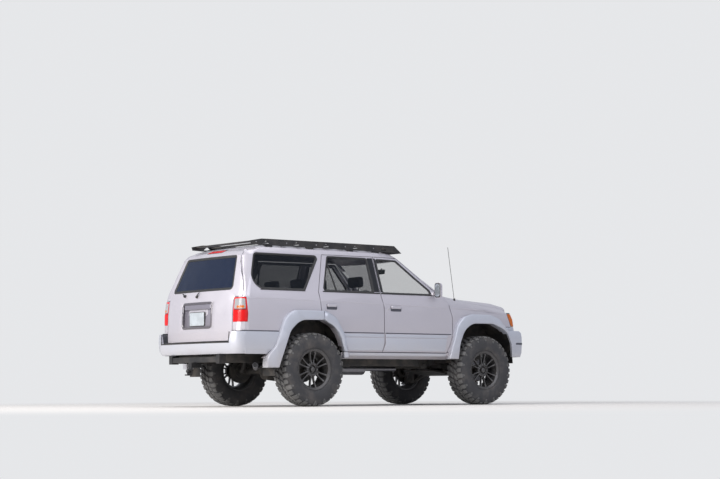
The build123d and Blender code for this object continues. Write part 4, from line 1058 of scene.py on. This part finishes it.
def rearWiperParts():
    # two pivots, each with a short arm that lies just off the tail
    parts = []
    lay = lambda y, z, out: onTail(np.array(y), np.array(car["sillZ"] + z), np.array(out))
    for (y, z), _ in rearWiper["arms"]:
        pivot = turned([(0, .030), (.010, .029), (.015, .022), (.017, .008), (.020, .0), (0, .0)], 28)
        parts.append(placed(pivot, lay(y, z, -.004), *facingTail))
    for (y, z), (across, up) in rearWiper["arms"]:
        tipY, tipZ = y + across, z + up
        path = [(y, z), ((y + tipY) / 2, (z + tipZ) / 2 + .006), (tipY, tipZ)]
        arm = smoothPath([lay(*point, rearWiper["rise"]) for point in path], 14)
        parts.append(tube(arm, np.linspace(.009, .005, 14), 10))
    return parts


buildPiece("rearWiper", rearWiperParts(), blackPlastic, "tailgate")
print("rear wiper")

# tail lamps: clear upper window, amber strip, red lower lens and the gap between them
tailLamp = {
    "clear": {"heights": (.560, .676), "flankX": -.936, "tailY": .7045, "rise": (-.002, .0022)},
    "amber": {"heights": (.568, .596), "flankX": -.948, "tailY": .745, "rise": (.001, .0032)},
    "red": {"heights": (.418, .546), "flankX": -.922, "tailY": .704, "rise": (-.002, .0024)},
    "gap": {"heights": (.548, .557), "flankX": -.922, "tailY": .704, "rise": (-.002, .0012)},
}


def lampPanel(piece, side):
    return panelAt("tub", -1, side, toX(piece["flankX"]), toY(piece["tailY"]), aboveSill(*piece["heights"]),
                   piece["rise"], .0015, 30, 14)


for sideName, side in sides:
    for lensName, lens in (("clear", clearLens), ("amber", amberLens), ("red", redLens), ("gap", softRubber)):
        buildPiece("tailLamp_" + lensName + "_" + sideName, [lampPanel(tailLamp[lensName], side)], lens,
                   "body")
print("tail lamps")

# front lamps, grille bars, and the front bumper's lamps, a band of painted shade along its crease, and mesh
front = {
    "amber": {"heights": (.432, .590), "cut": (3.168, 3.240), "endY": .662},
    "head": {"heights": (.432, .590), "startY": .656, "endY": .418},
    "lip": {"heights": (.597, .603), "cut": (3.164, 3.166), "endY": .412},
    "bars": (.399, .439, .481, .523, .565), "barHalf": .385, "barSection": (.010, .007),
    "fogY": .580, "fogHeight": .144, "fogRadius": .036,
}


def slantRun(heights, lengths):
    # the run on the flank along a line that leans from one length at the top to another at the foot
    top, foot = heights[1] + car["sillZ"], heights[0] + car["sillZ"]
    leanAt = lambda z: np.interp(z, (foot, top), (lengths[1], lengths[0]))
    return lambda corner: corner.runAtX(car["rearAxleX"] + leanAt(corner.z))


def noseX(y, z, which="tub"):
    # the nose's surface: a parabola across the car between the middle and the corner
    share = (np.asarray(y) / levelAt("half", z, which)) ** 2
    middle, corner = levelAt("frontMiddle", z, which), levelAt("front", z, which)
    return car["rearAxleX"] + middle * (1 - share) + corner * share


def frontLampParts(side):
    amber, head, lip = front["amber"], front["head"], front["lip"]
    slant = lambda piece: slantRun(piece["heights"], piece["cut"])
    lamp = lambda left, piece, *rest: panelAt("tub", 1, side, left, toY(piece["endY"]),
                                              aboveSill(*piece["heights"]), *rest)
    return (lamp(slant(amber), amber, (-.004, .0050), .004, 24, 14, .014),
            lamp(toY(head["startY"]), head, (-.004, .0050), .004, 24, 14, .014),
            lamp(slant(lip), lip, (-.006, .0030), .001, 40, 6, .002))


def grilleBars():
    parts = []
    wide, tall = front["barSection"]
    turn = np.linspace(0, 2 * np.pi, 16, endpoint=False)
    for height in front["bars"]:
        y = np.linspace(-front["barHalf"], front["barHalf"], 41)[:, None]
        z = height + car["sillZ"] + tall * np.sin(turn)[None]
        x = noseX(y, np.full_like(z, height + car["sillZ"])) - .006 + wide * np.cos(turn)[None]
        parts.append(surface(np.stack(np.broadcast_arrays(x, y, z), -1), wrapCols=True, capRows=True))
    return parts


def fogLamp(side):
    z = car["sillZ"] + front["fogHeight"]
    centre = (float(noseX(front["fogY"], z, "frontBumper")) - .020, side * front["fogY"], z)
    facing = ((0, 0, 1), (1, 0, 0), (0, 1, 0))
    r = front["fogRadius"]
    lens = [(0, .010), (r * .5, .0085), (r * .85, .0045), (r, -.002), (r, -.010), (0, -.010)]
    ring = [(r, -.004), (r + .001, .004), (r + .006, .005), (r + .009, -.004), (r + .009, -.030),
            (r - .004, -.030)]
    return [placed(turned(profile, 40), centre, *facing) for profile in (lens, ring)]


mouth = {"band": (.198, .222), "bandX": 3.270, "bandY": .170, "first": -.36, "step": .06, "count": 13,
         "heights": (.106, .180), "lean": .02, "rows": (.125, .143, .161), "half": .40, "depth": .032,
         "wire": .0028}


def bumperDetails():
    # a dark band of painted shade along the bumper's crease, and the mesh across its mouth
    band = [panelAt("frontBumper", 1, side, toX(mouth["bandX"]), toY(mouth["bandY"]),
                    aboveSill(*mouth["band"]), (-.004, .0022), .002, 60, 8, .004) for _, side in sides]
    wires = []
    for middle in mouth["first"] + mouth["step"] * np.arange(mouth["count"]):
        z = car["sillZ"] + np.linspace(*mouth["heights"], 6)
        wires.append((middle + np.linspace(-mouth["lean"], mouth["lean"], 6), z))
    for height in mouth["rows"]:
        wires.append((np.linspace(-mouth["half"], mouth["half"], 21), np.full(21, car["sillZ"] + height)))
    return band, [tube(np.stack([noseX(y, z, "frontBumper") - mouth["depth"], y, z], -1), mouth["wire"], 8)
                  for y, z in wires]


for sideName, side in sides:
    amberPanel, headPanel, brow = frontLampParts(side)
    buildPiece("cornerLamp_" + sideName, [amberPanel], amberLens, "body")
    buildPiece("headlampLens_" + sideName, [headPanel], clearLens, "body")
    buildPiece("lampBrow_" + sideName, [brow], softRubber, "body")
    fogLens, fogRing = fogLamp(side)
    buildPiece("fogLens_" + sideName, [fogLens], clearLens, "body")
    buildPiece("fogRing_" + sideName, [fogRing], blackPlastic, "body")
bumperCreaseShade, mouthWires = bumperDetails()
buildPiece("grilleBars", grilleBars(), greyPlastic, "body")
# the bumper's crease is darkened by this band of painted shade
buildPiece("bumperCreaseShade", bumperCreaseShade, seamAndPaintedShade, "body")
buildPiece("mouthMesh", mouthWires, blackPlastic, "body")
print("front lamps and bumper")

# front wipers, parked on the windscreen's foot
frontWiper = {"pivots": [(.100, .560), (-.420, .240)], "height": .800, "glassHalf": .76, "blade": (-.24, .20)}


def screenX(y, z):
    # the windscreen's surface: a parabola across the car
    share = (y / frontWiper["glassHalf"]) ** 2
    middle, corner = levelAt("frontMiddle", z, "house"), levelAt("front", z, "house")
    return car["rearAxleX"] + middle * (1 - share) + corner * share


def wiperParts():
    parts = []
    foot = car["sillZ"] + frontWiper["height"]
    for pivotY, tipY in frontWiper["pivots"]:
        y, z = np.linspace(pivotY, tipY, 3), foot + np.array([.010, .018, .030])
        arm = smoothPath(np.stack([screenX(y, z) + .012, y, z], -1), 14)
        parts.append(tube(arm, np.linspace(.008, .005, 14), 10))
        y, z = np.linspace(*(tipY + reach for reach in frontWiper["blade"]), 12), np.full(12, foot + .022)
        parts.append(tube(np.stack([screenX(y, z) + .006, y, z], -1), .0055, 8))
    return parts


buildPiece("frontWipers", wiperParts(), blackPlastic, "body")
print("front wipers")

# roof rack: rail lips, ribs across the slats and bolts
rack = {"halfWidth": .622, "top": [(-.722, 1.3610), (-.560, 1.3905), (1.430, 1.3925)], "slats": 10,
        "slatStart": -.640, "slatStep": .218, "slatHeight": 1.3680,
        "boltX": [-.640, -.204, .232, .668, 1.104], "boltHeight": 1.350, "ribShifts": (-.020, 0, .020),
        "ribSize": (.010, 1.20, .0020), "ribRise": .0008}


def rackParts():
    lips, slots, bolts = [], [], []
    for _, side in sides:
        path = np.array(rack["top"])
        x = np.interp(np.linspace(0, 1, 30), (0, .08, 1), path[:, 0])
        z = np.interp(x, path[:, 0], path[:, 1])
        section = np.array([(0, -.001), (0, .0012), (-.020, .0012), (-.020, -.0035), (-.017, -.0035),
                            (-.017, -.001)])
        y = side * (rack["halfWidth"] + section[:, 0])[None]
        points = np.stack([np.broadcast_to(x[:, None], (30, 6)), np.broadcast_to(y, (30, 6)),
                           z[:, None] + section[:, 1][None]], -1)
        lips.append(surface(atCar(points), wrapCols=True, capRows=True))
        for centre in rack["boltX"]:
            head = turned([(0, .0050), (.0060, .0048), (.0085, .0030), (.0090, .0), (.0090, -.002),
                           (0, -.002)], 20)
            bolts.append(placed(head, atCar((centre, side * rack["halfWidth"], rack["boltHeight"])),
                                (1, 0, 0), (0, side, 0), (0, 0, 1)))
    for index in range(rack["slats"]):
        middle = rack["slatStart"] + index * rack["slatStep"]
        for shift in rack["ribShifts"]:
            slots += [placed(part, atCar((middle + shift, 0, rack["slatHeight"] + rack["ribRise"])))
                      for part in roundedBlock(rack["ribSize"], rack["ribRise"])]
    return lips, slots, bolts


railLips, slatRibs, rackBolts = rackParts()
buildPiece("rackRailLips", railLips, powderCoat, "body")
buildPiece("rackSlatRibs", slatRibs, powderCoat, "body")
buildPiece("rackBolts", rackBolts, dullSteel, "body")
print("roof rack")

# running gear: coil springs, brake discs, exhaust tip
gear = {
    "rearSpring": {"foot": (0, .432, -.055), "top": (0, .432, .066), "radius": .060, "wire": .0080,
                   "turns": 3.5},
    "frontSpring": {"foot": (2.6735, .544, -.190), "top": (2.6665, .462, .200), "radius": .040, "wire": .0065,
                    "turns": 6.5},
    "disc": {"y": .7015, "profile": [(.066, 0), (.150, 0), (.150, -.008), (.120, -.008), (.120, -.016),
                                     (.150, -.016), (.150, -.024), (.066, -.024)]},
    "tip": {"from": (-.600, -.555, -.103), "to": (-.706, -.698, -.079), "outer": .0300, "inner": .0262},
}


def coilPart(spring, side):
    # a helix about the line from foot to top, in two directions square to it
    foot, top = (atCar(spring[end]) * (1, side, 1) for end in ("foot", "top"))
    axis = (top - foot) / np.linalg.norm(top - foot)
    first = np.cross(axis, (1, 0, 0))
    first /= np.linalg.norm(first)
    second = np.cross(axis, first)
    steps = int(spring["turns"] * 24)
    turn = np.linspace(0, spring["turns"] * 2 * np.pi, steps)[:, None]
    share = np.linspace(0, 1, steps)[:, None]
    return tube(foot + (top - foot) * share
                + spring["radius"] * (np.cos(turn) * first + np.sin(turn) * second), spring["wire"], 10)


def discPart(side):
    centre = (car["frontAxleX"], side * gear["disc"]["y"], car["hubZ"])
    return placed(turned(gear["disc"]["profile"], 72), centre, (1, 0, 0), (0, side, 0), (0, 0, 1))


def tipParts():
    # the pipe's end and the dark disc set into its mouth: soot and painted shade for the deep bore
    tip = gear["tip"]
    start, finish = atCar(tip["from"]), atCar(tip["to"])
    length = np.linalg.norm(finish - start)
    axis = (finish - start) / length
    first = np.cross(axis, (0, 0, 1))
    first /= np.linalg.norm(first)
    outer, inner = tip["outer"], tip["inner"]
    pipe = [(outer, 0), (outer, length - .001), (outer - .001, length), (inner, length),
            (inner, length * .25), (0, length * .25), (0, length * .15), (outer - .004, 0)]
    bore = [(0, length - .0035), (inner, length - .0035), (inner, length - .006), (0, length - .006)]
    return [placed(turned(profile, 40), start, first, axis, np.cross(first, axis))
            for profile in (pipe, bore)]


for sideName, side in sides:
    buildPiece("rearSpring_" + sideName, [coilPart(gear["rearSpring"], side)], chassisPaint, "body")
    buildPiece("frontSpring_" + sideName, [coilPart(gear["frontSpring"], side)], castMetal, "body")
    buildPiece("brakeDisc_" + sideName, [discPart(side)], dullSteel, "knuckle_" + sideName)
exhaustTip, exhaustBore = tipParts()
buildPiece("exhaustTip", [exhaustTip], dullSteel, "body")
print("running gear")

# cabin: padded seats, door cards, steering wheel, mirror and instrument hood
seatRows = {
    "front": {"x": 1.130, "places": (.370, -.370), "width": .50, "base": .066, "backTop": .850, "heads": (0,),
              "grooves": (.52,)},
    "rear": {"x": .330, "places": (0,), "width": 1.08, "base": .220, "backTop": .800, "heads": (-.27, .27),
             "grooves": (.34, .78)},
}


def cushion(size, origin, lean=0.0, crown=.022, grooves=(), bolster=.012):
    # a cube pushed onto a sixth-power rounded form, crowned on both faces, its sides drawn in between the
    # corners, with sewn channels pressed into the upper face; lean turns it about Y
    c, s = math.cos(lean), math.sin(lean)
    parts = []
    for cube in cubeFaces(41):
        p = cube / (np.abs(cube) ** 6).sum(-1, keepdims=True) ** (1 / 6)
        x, y, z = p[..., 0], p[..., 1], p[..., 2]
        roll = bolster * np.maximum(z, 0) * y ** 4 * (1 - x ** 4)
        rise = z * (size[2] / 2 + crown * (1 - x ** 2) * (1 - y ** 2)) + roll
        for groove in grooves:
            rise = rise - .007 * np.maximum(z, 0) * np.exp(-((np.abs(y) - groove) / .028) ** 2)
        seam = .0022 * np.exp(-(z / .05) ** 2)
        px = x * (size[0] / 2 - seam) * (1 - .035 * (1 - y ** 2) * np.abs(x))
        py = y * (size[1] / 2 - seam) * (1 - .03 * (1 - x ** 2) * np.abs(y))
        points = np.stack([px * c + rise * s, py, rise * c - px * s], -1)
        parts.append(surface(points + atCar(origin)))
    return parts


def seatPieces():
    frames = []
    for row, seat in seatRows.items():
        x, top, width = seat["x"], seat["backTop"], seat["width"]
        lean = math.atan2(.125, top - .34)
        for index, y in enumerate(seat["places"]):
            name = row + "_" + str(index)
            pads = {
                "cushion": cushion((.540, width - .02, .130), (x + .240, y, .310), -.06, .018,
                                   seat["grooves"]),
                "back": cushion((top - .36, width - .03, .110), (x - .030, y, (top + .36) / 2),
                                -math.pi / 2 - lean, .020, seat["grooves"]),
            }
            for k, shift in enumerate(seat["heads"]):
                pads["headrest" + str(k)] = cushion((.135, .235, .075), (x - .105, y + shift, top + .095),
                                                    -math.pi / 2 - .12, .012)
                frames += [tube(atCar([(x - .105, y + shift + post, top - .02),
                                       (x - .105, y + shift + post, top + .05)]), .006, 12)
                           for post in (-.053, .053)]
            for padName, parts in pads.items():
                pad = buildPiece("seat_" + name + "_" + padName, parts, clothWeave, "body", sharp=70)
            frames += [placed(part, atCar((x + .235, y, (seat["base"] + .25) / 2)))
                       for part in roundedBlock((.46, width - .08, .25 - seat["base"]), .02)]
    buildPiece("seatFrames", frames, trimPlastic, "body", ["seats"])


cabin = {"steering": (1.600, .370, .650), "steeringTilt": 62, "rimRadius": .182, "rimSection": (.0135, .0125),
         "mirror": (1.690, 0, 1.115), "mirrorSize": (.022, .230, .062), "mirrorTilt": .15,
         "mirrorStem": [(1.700, 0, 1.120), (1.722, 0, 1.150), (1.735, 0, 1.158)],
         "hood": (1.830, .370, .752), "hoodSize": (.200, .380, .070)}


def steeringParts():
    tilt = math.radians(cabin["steeringTilt"])
    c, s = math.cos(tilt), math.sin(tilt)
    place = lambda part: placed(part, atCar(cabin["steering"]), (c, 0, s), (-s, 0, c), (0, 1, 0))
    turn = np.linspace(0, 2 * np.pi, 16, endpoint=False)
    across, deep = cabin["rimSection"]
    rim = turned(np.stack([cabin["rimRadius"] + across * np.cos(turn), deep * np.sin(turn)], -1), 72)
    hub = turned([(0, .022), (.030, .020), (.048, .010), (.052, -.004), (.044, -.020), (0, -.024)], 40)
    column = turned([(0, -.020), (.022, -.020), (.026, -.060), (.026, -.118), (0, -.118)], 24)
    spokes = [tube([(.035 * math.sin(a), 0, .035 * math.cos(a)),
                    (.110 * math.sin(a), -.003, .110 * math.cos(a)),
                    (.180 * math.sin(a), 0, .180 * math.cos(a))], [.016, .012, .010], 12)
              for a in (0.3, math.pi - .3, 3 * math.pi / 2)]
    return [place(part) for part in [rim, hub, column] + spokes]


doorCards = {
    "front_door": {"line": [(1.120, .130), (1.120, .760), (2.010, .755), (2.070, .600), (2.080, .340),
                            (2.020, .150)],
                   "rest": (1.180, 1.720, .560)},
    "rear_door": {"line": [(.520, .130), (.450, .290), (.370, .430), (.200, .520), (.175, .760),
                           (1.010, .760), (1.040, .600), (1.040, .190), (1.010, .130)],
                  "rest": (.440, .960, .560)},
    "round": .03, "depth": .072,
}


def doorCardParts(card, side):
    # the trim on a door's inner side, with its armrest and the handle's cup
    outer = onSide(side)
    lay = lambda x, z, w: outer(x, z, -doorCards["depth"] - w)
    outline = finer(roundOutline(inCar(card["line"]), doorCards["round"], 6), .05)
    rear, ahead, height = card["rest"]
    rest = inCar([(rear, height - .030), (rear, height + .022), (ahead, height + .030),
                  (ahead, height - .022)])
    grip = boxInCar(ahead - .120, ahead - .010, height + .070, height + .105)
    return [slab(outline, -.001, .0040, .002, lay),
            slab(finer(roundOutline(rest, .018, 6), .05), .003, .046, .014, lay, 6),
            slab(roundOutline(grip, .012, 6), .003, .0085, .003, lay, 4)]


for sideName, side in sides:
    for door in ("front_door", "rear_door"):
        buildPiece("doorCard_" + door + "_" + sideName, doorCardParts(doorCards[door], side), trimPlastic,
                   door + "_" + sideName)
seatPieces()
buildPiece("steeringRim", steeringParts(), trimPlastic, "body", ["steering_wheel"])
cabinMirror = [placed(part, atCar(cabin["mirror"]))
               for part in roundedBlock(cabin["mirrorSize"], .010, cabin["mirrorTilt"])]
cabinMirror.append(tube(atCar(cabin["mirrorStem"]), [.006, .006, .009], 10))
buildPiece("cabinMirror", cabinMirror, trimPlastic, "body")
buildPiece("instrumentHood",
           [placed(part, atCar(cabin["hood"])) for part in roundedBlock(cabin["hoodSize"], .030)],
           trimPlastic, "body")
print("cabin")

# rear bumper's step band and corner gaps, and the front bumper's shoulder under the lamps
bumperTrim = {"band": (.172, .187), "gapY": (.712, .724), "gapTop": .300, "shoulder": (.366, .420),
              "shoulderX": 3.150, "shoulderEndY": .400}


def bumperTrimParts(side):
    low, high = bumperTrim["band"]
    inner, outer = bumperTrim["gapY"]
    band = panelAt("rearBumper", -1, side, toY(inner), toY(0), aboveSill(low, high), (-.004, .0018), .0012,
                   40, 6, .002)
    gap = panelAt("rearBumper", -1, side, toY(outer), toY(inner), aboveSill(low, bumperTrim["gapTop"]),
                  (-.004, .0016), .001, 6, 16, .002)
    shoulder = panelAt("tub", 1, side, toX(bumperTrim["shoulderX"]), toY(bumperTrim["shoulderEndY"]),
                       aboveSill(*bumperTrim["shoulder"]), (-.020, .0020), .004, 40, 8, .004)
    return band, gap, shoulder


for sideName, side in sides:
    stepBand, cornerGap, shoulder = bumperTrimParts(side)
    buildPiece("bumperStepBand_" + sideName, [stepBand, cornerGap], blackPlastic, "body")
    buildPiece("bumperShoulder_" + sideName, [shoulder], cladding, "body")
# the bore's dark disc is the pipe's soot and painted shade of its depth
buildPiece("exhaustBore", [exhaustBore], softRubber, "body")
print("bumper trim")

# stage: floor, backdrop, lights, camera
backdrop = {"colour": (0.86, 0.87, 0.89, 1), "strength": 0.92, "sky": (0.86, 0.90, 1.0, 1),
            "skyStrength": 0.54}
stageSizes = {"cameraPlace": (-13.599, -17.489, 0.204), "azimuth": 51.67, "pitch": 4.8, "roll": -0.26,
              "lens": 88.885, "floorReach": 150}


def addCamera():
    azimuth, pitch, roll = (math.radians(stageSizes[k]) for k in ("azimuth", "pitch", "roll"))
    look = np.array([math.cos(pitch) * math.cos(azimuth), math.cos(pitch) * math.sin(azimuth),
                     math.sin(pitch)])
    right = np.cross(look, (0, 0, 1))
    right /= np.linalg.norm(right)
    up = np.cross(right, look)
    right, up = right * math.cos(roll) + up * math.sin(roll), up * math.cos(roll) - right * math.sin(roll)
    camera = linked("camera", bpy.data.cameras.new("camera"))
    columns = np.stack([right, up, -look], 1)
    camera.matrix_world = Matrix([[*columns[row], stageSizes["cameraPlace"][row]] for row in range(3)]
                                 + [[0, 0, 0, 1]])
    camera.data.lens = stageSizes["lens"]
    camera.data.sensor_width = 36
    camera.data.clip_start, camera.data.clip_end = 0.05, 400
    bpy.context.scene.camera = camera


def addLight(name, place, target, size, power, colour=(1, 1, 1)):
    light = linked(name, bpy.data.lights.new(name, "AREA"))
    light.data.shape, light.data.size, light.data.size_y = "RECTANGLE", size[0], size[1]
    light.data.energy, light.data.color = power, colour
    light.location = place
    light.rotation_euler = (Vector(target) - Vector(place)).to_track_quat("-Z", "Y").to_euler()


def addFloor():
    # a pale floor that passes into the backdrop's colour far from the car, for the camera alone
    reach = stageSizes["floorReach"]
    mesh = bpy.data.meshes.new("floor")
    mesh.from_pydata([(-reach, -reach, 0), (reach, -reach, 0), (reach, reach, 0), (-reach, reach, 0)], [],
                     [(0, 1, 2, 3)])
    floor = linked("floor", mesh)
    material, tree, shader = newMaterial("floor_paint", Roughness=0.75, Base_Color=(0.62, 0.60, 0.58, 1))
    distance = addNode(tree, "VectorMath", {0: objectPlace(tree)}, operation="LENGTH")
    far = addNode(tree, "MapRange", {"Value": distance.outputs["Value"], "From Min": 2.6, "From Max": 9.0},
                  interpolation_type="SMOOTHERSTEP")
    path = addNode(tree, "LightPath")
    share = combined(tree, far.outputs["Result"], path.outputs["Is Camera Ray"], "MULTIPLY")
    glow = addNode(tree, "Emission", {"Color": backdrop["colour"], "Strength": backdrop["strength"]})
    mixed = addNode(tree, "MixShader", {"Fac": share, 1: shader.outputs["BSDF"], 2: glow.outputs["Emission"]})
    tree.links.new(mixed.outputs["Shader"], tree.nodes["Material Output"].inputs["Surface"])
    floor.data.materials.append(material)


def addWorld():
    # a pale room for the camera and what it sees through glass; a softer sky for light and reflections
    world = bpy.data.worlds.new("room")
    bpy.context.scene.world = world
    world.use_nodes = True
    tree = world.node_tree
    shown, soft = (addNode(tree, "Background", {"Color": backdrop[colour], "Strength": backdrop[strength]})
                   for colour, strength in (("colour", "strength"), ("sky", "skyStrength")))
    path = addNode(tree, "LightPath").outputs
    rays = addNode(tree, "Math", {0: path["Is Camera Ray"], 1: path["Is Transmission Ray"]}, operation="ADD",
                   use_clamp=True)
    mixed = addNode(tree, "MixShader", {"Fac": rays.outputs["Value"], 1: soft.outputs["Background"],
                                        2: shown.outputs["Background"]})
    tree.links.new(mixed.outputs["Shader"], tree.nodes["World Output"].inputs["Surface"])


addCamera()
addFloor()
addWorld()
for name, lamp in {
    "keyLight": {"place": (-16, 0, 7), "target": (-1.5, 0, 0.9), "size": (11, 9), "power": 3700,
                 "colour": (1.0, 0.97, 0.93)},
    "sideLight": {"place": (1, -15, 8), "target": (0, 0, 0.9), "size": (14, 8), "power": 820,
                  "colour": (0.93, 0.94, 1.0)},
    "topLight": {"place": (1, 0, 10), "target": (0, 0, 0), "size": (10, 7), "power": 420,
                 "colour": (1, 1, 1)},
}.items():
    addLight(name, lamp["place"], lamp["target"], lamp["size"], lamp["power"], lamp["colour"])
bpy.context.scene.view_settings.view_transform = "Standard"
print("stage")
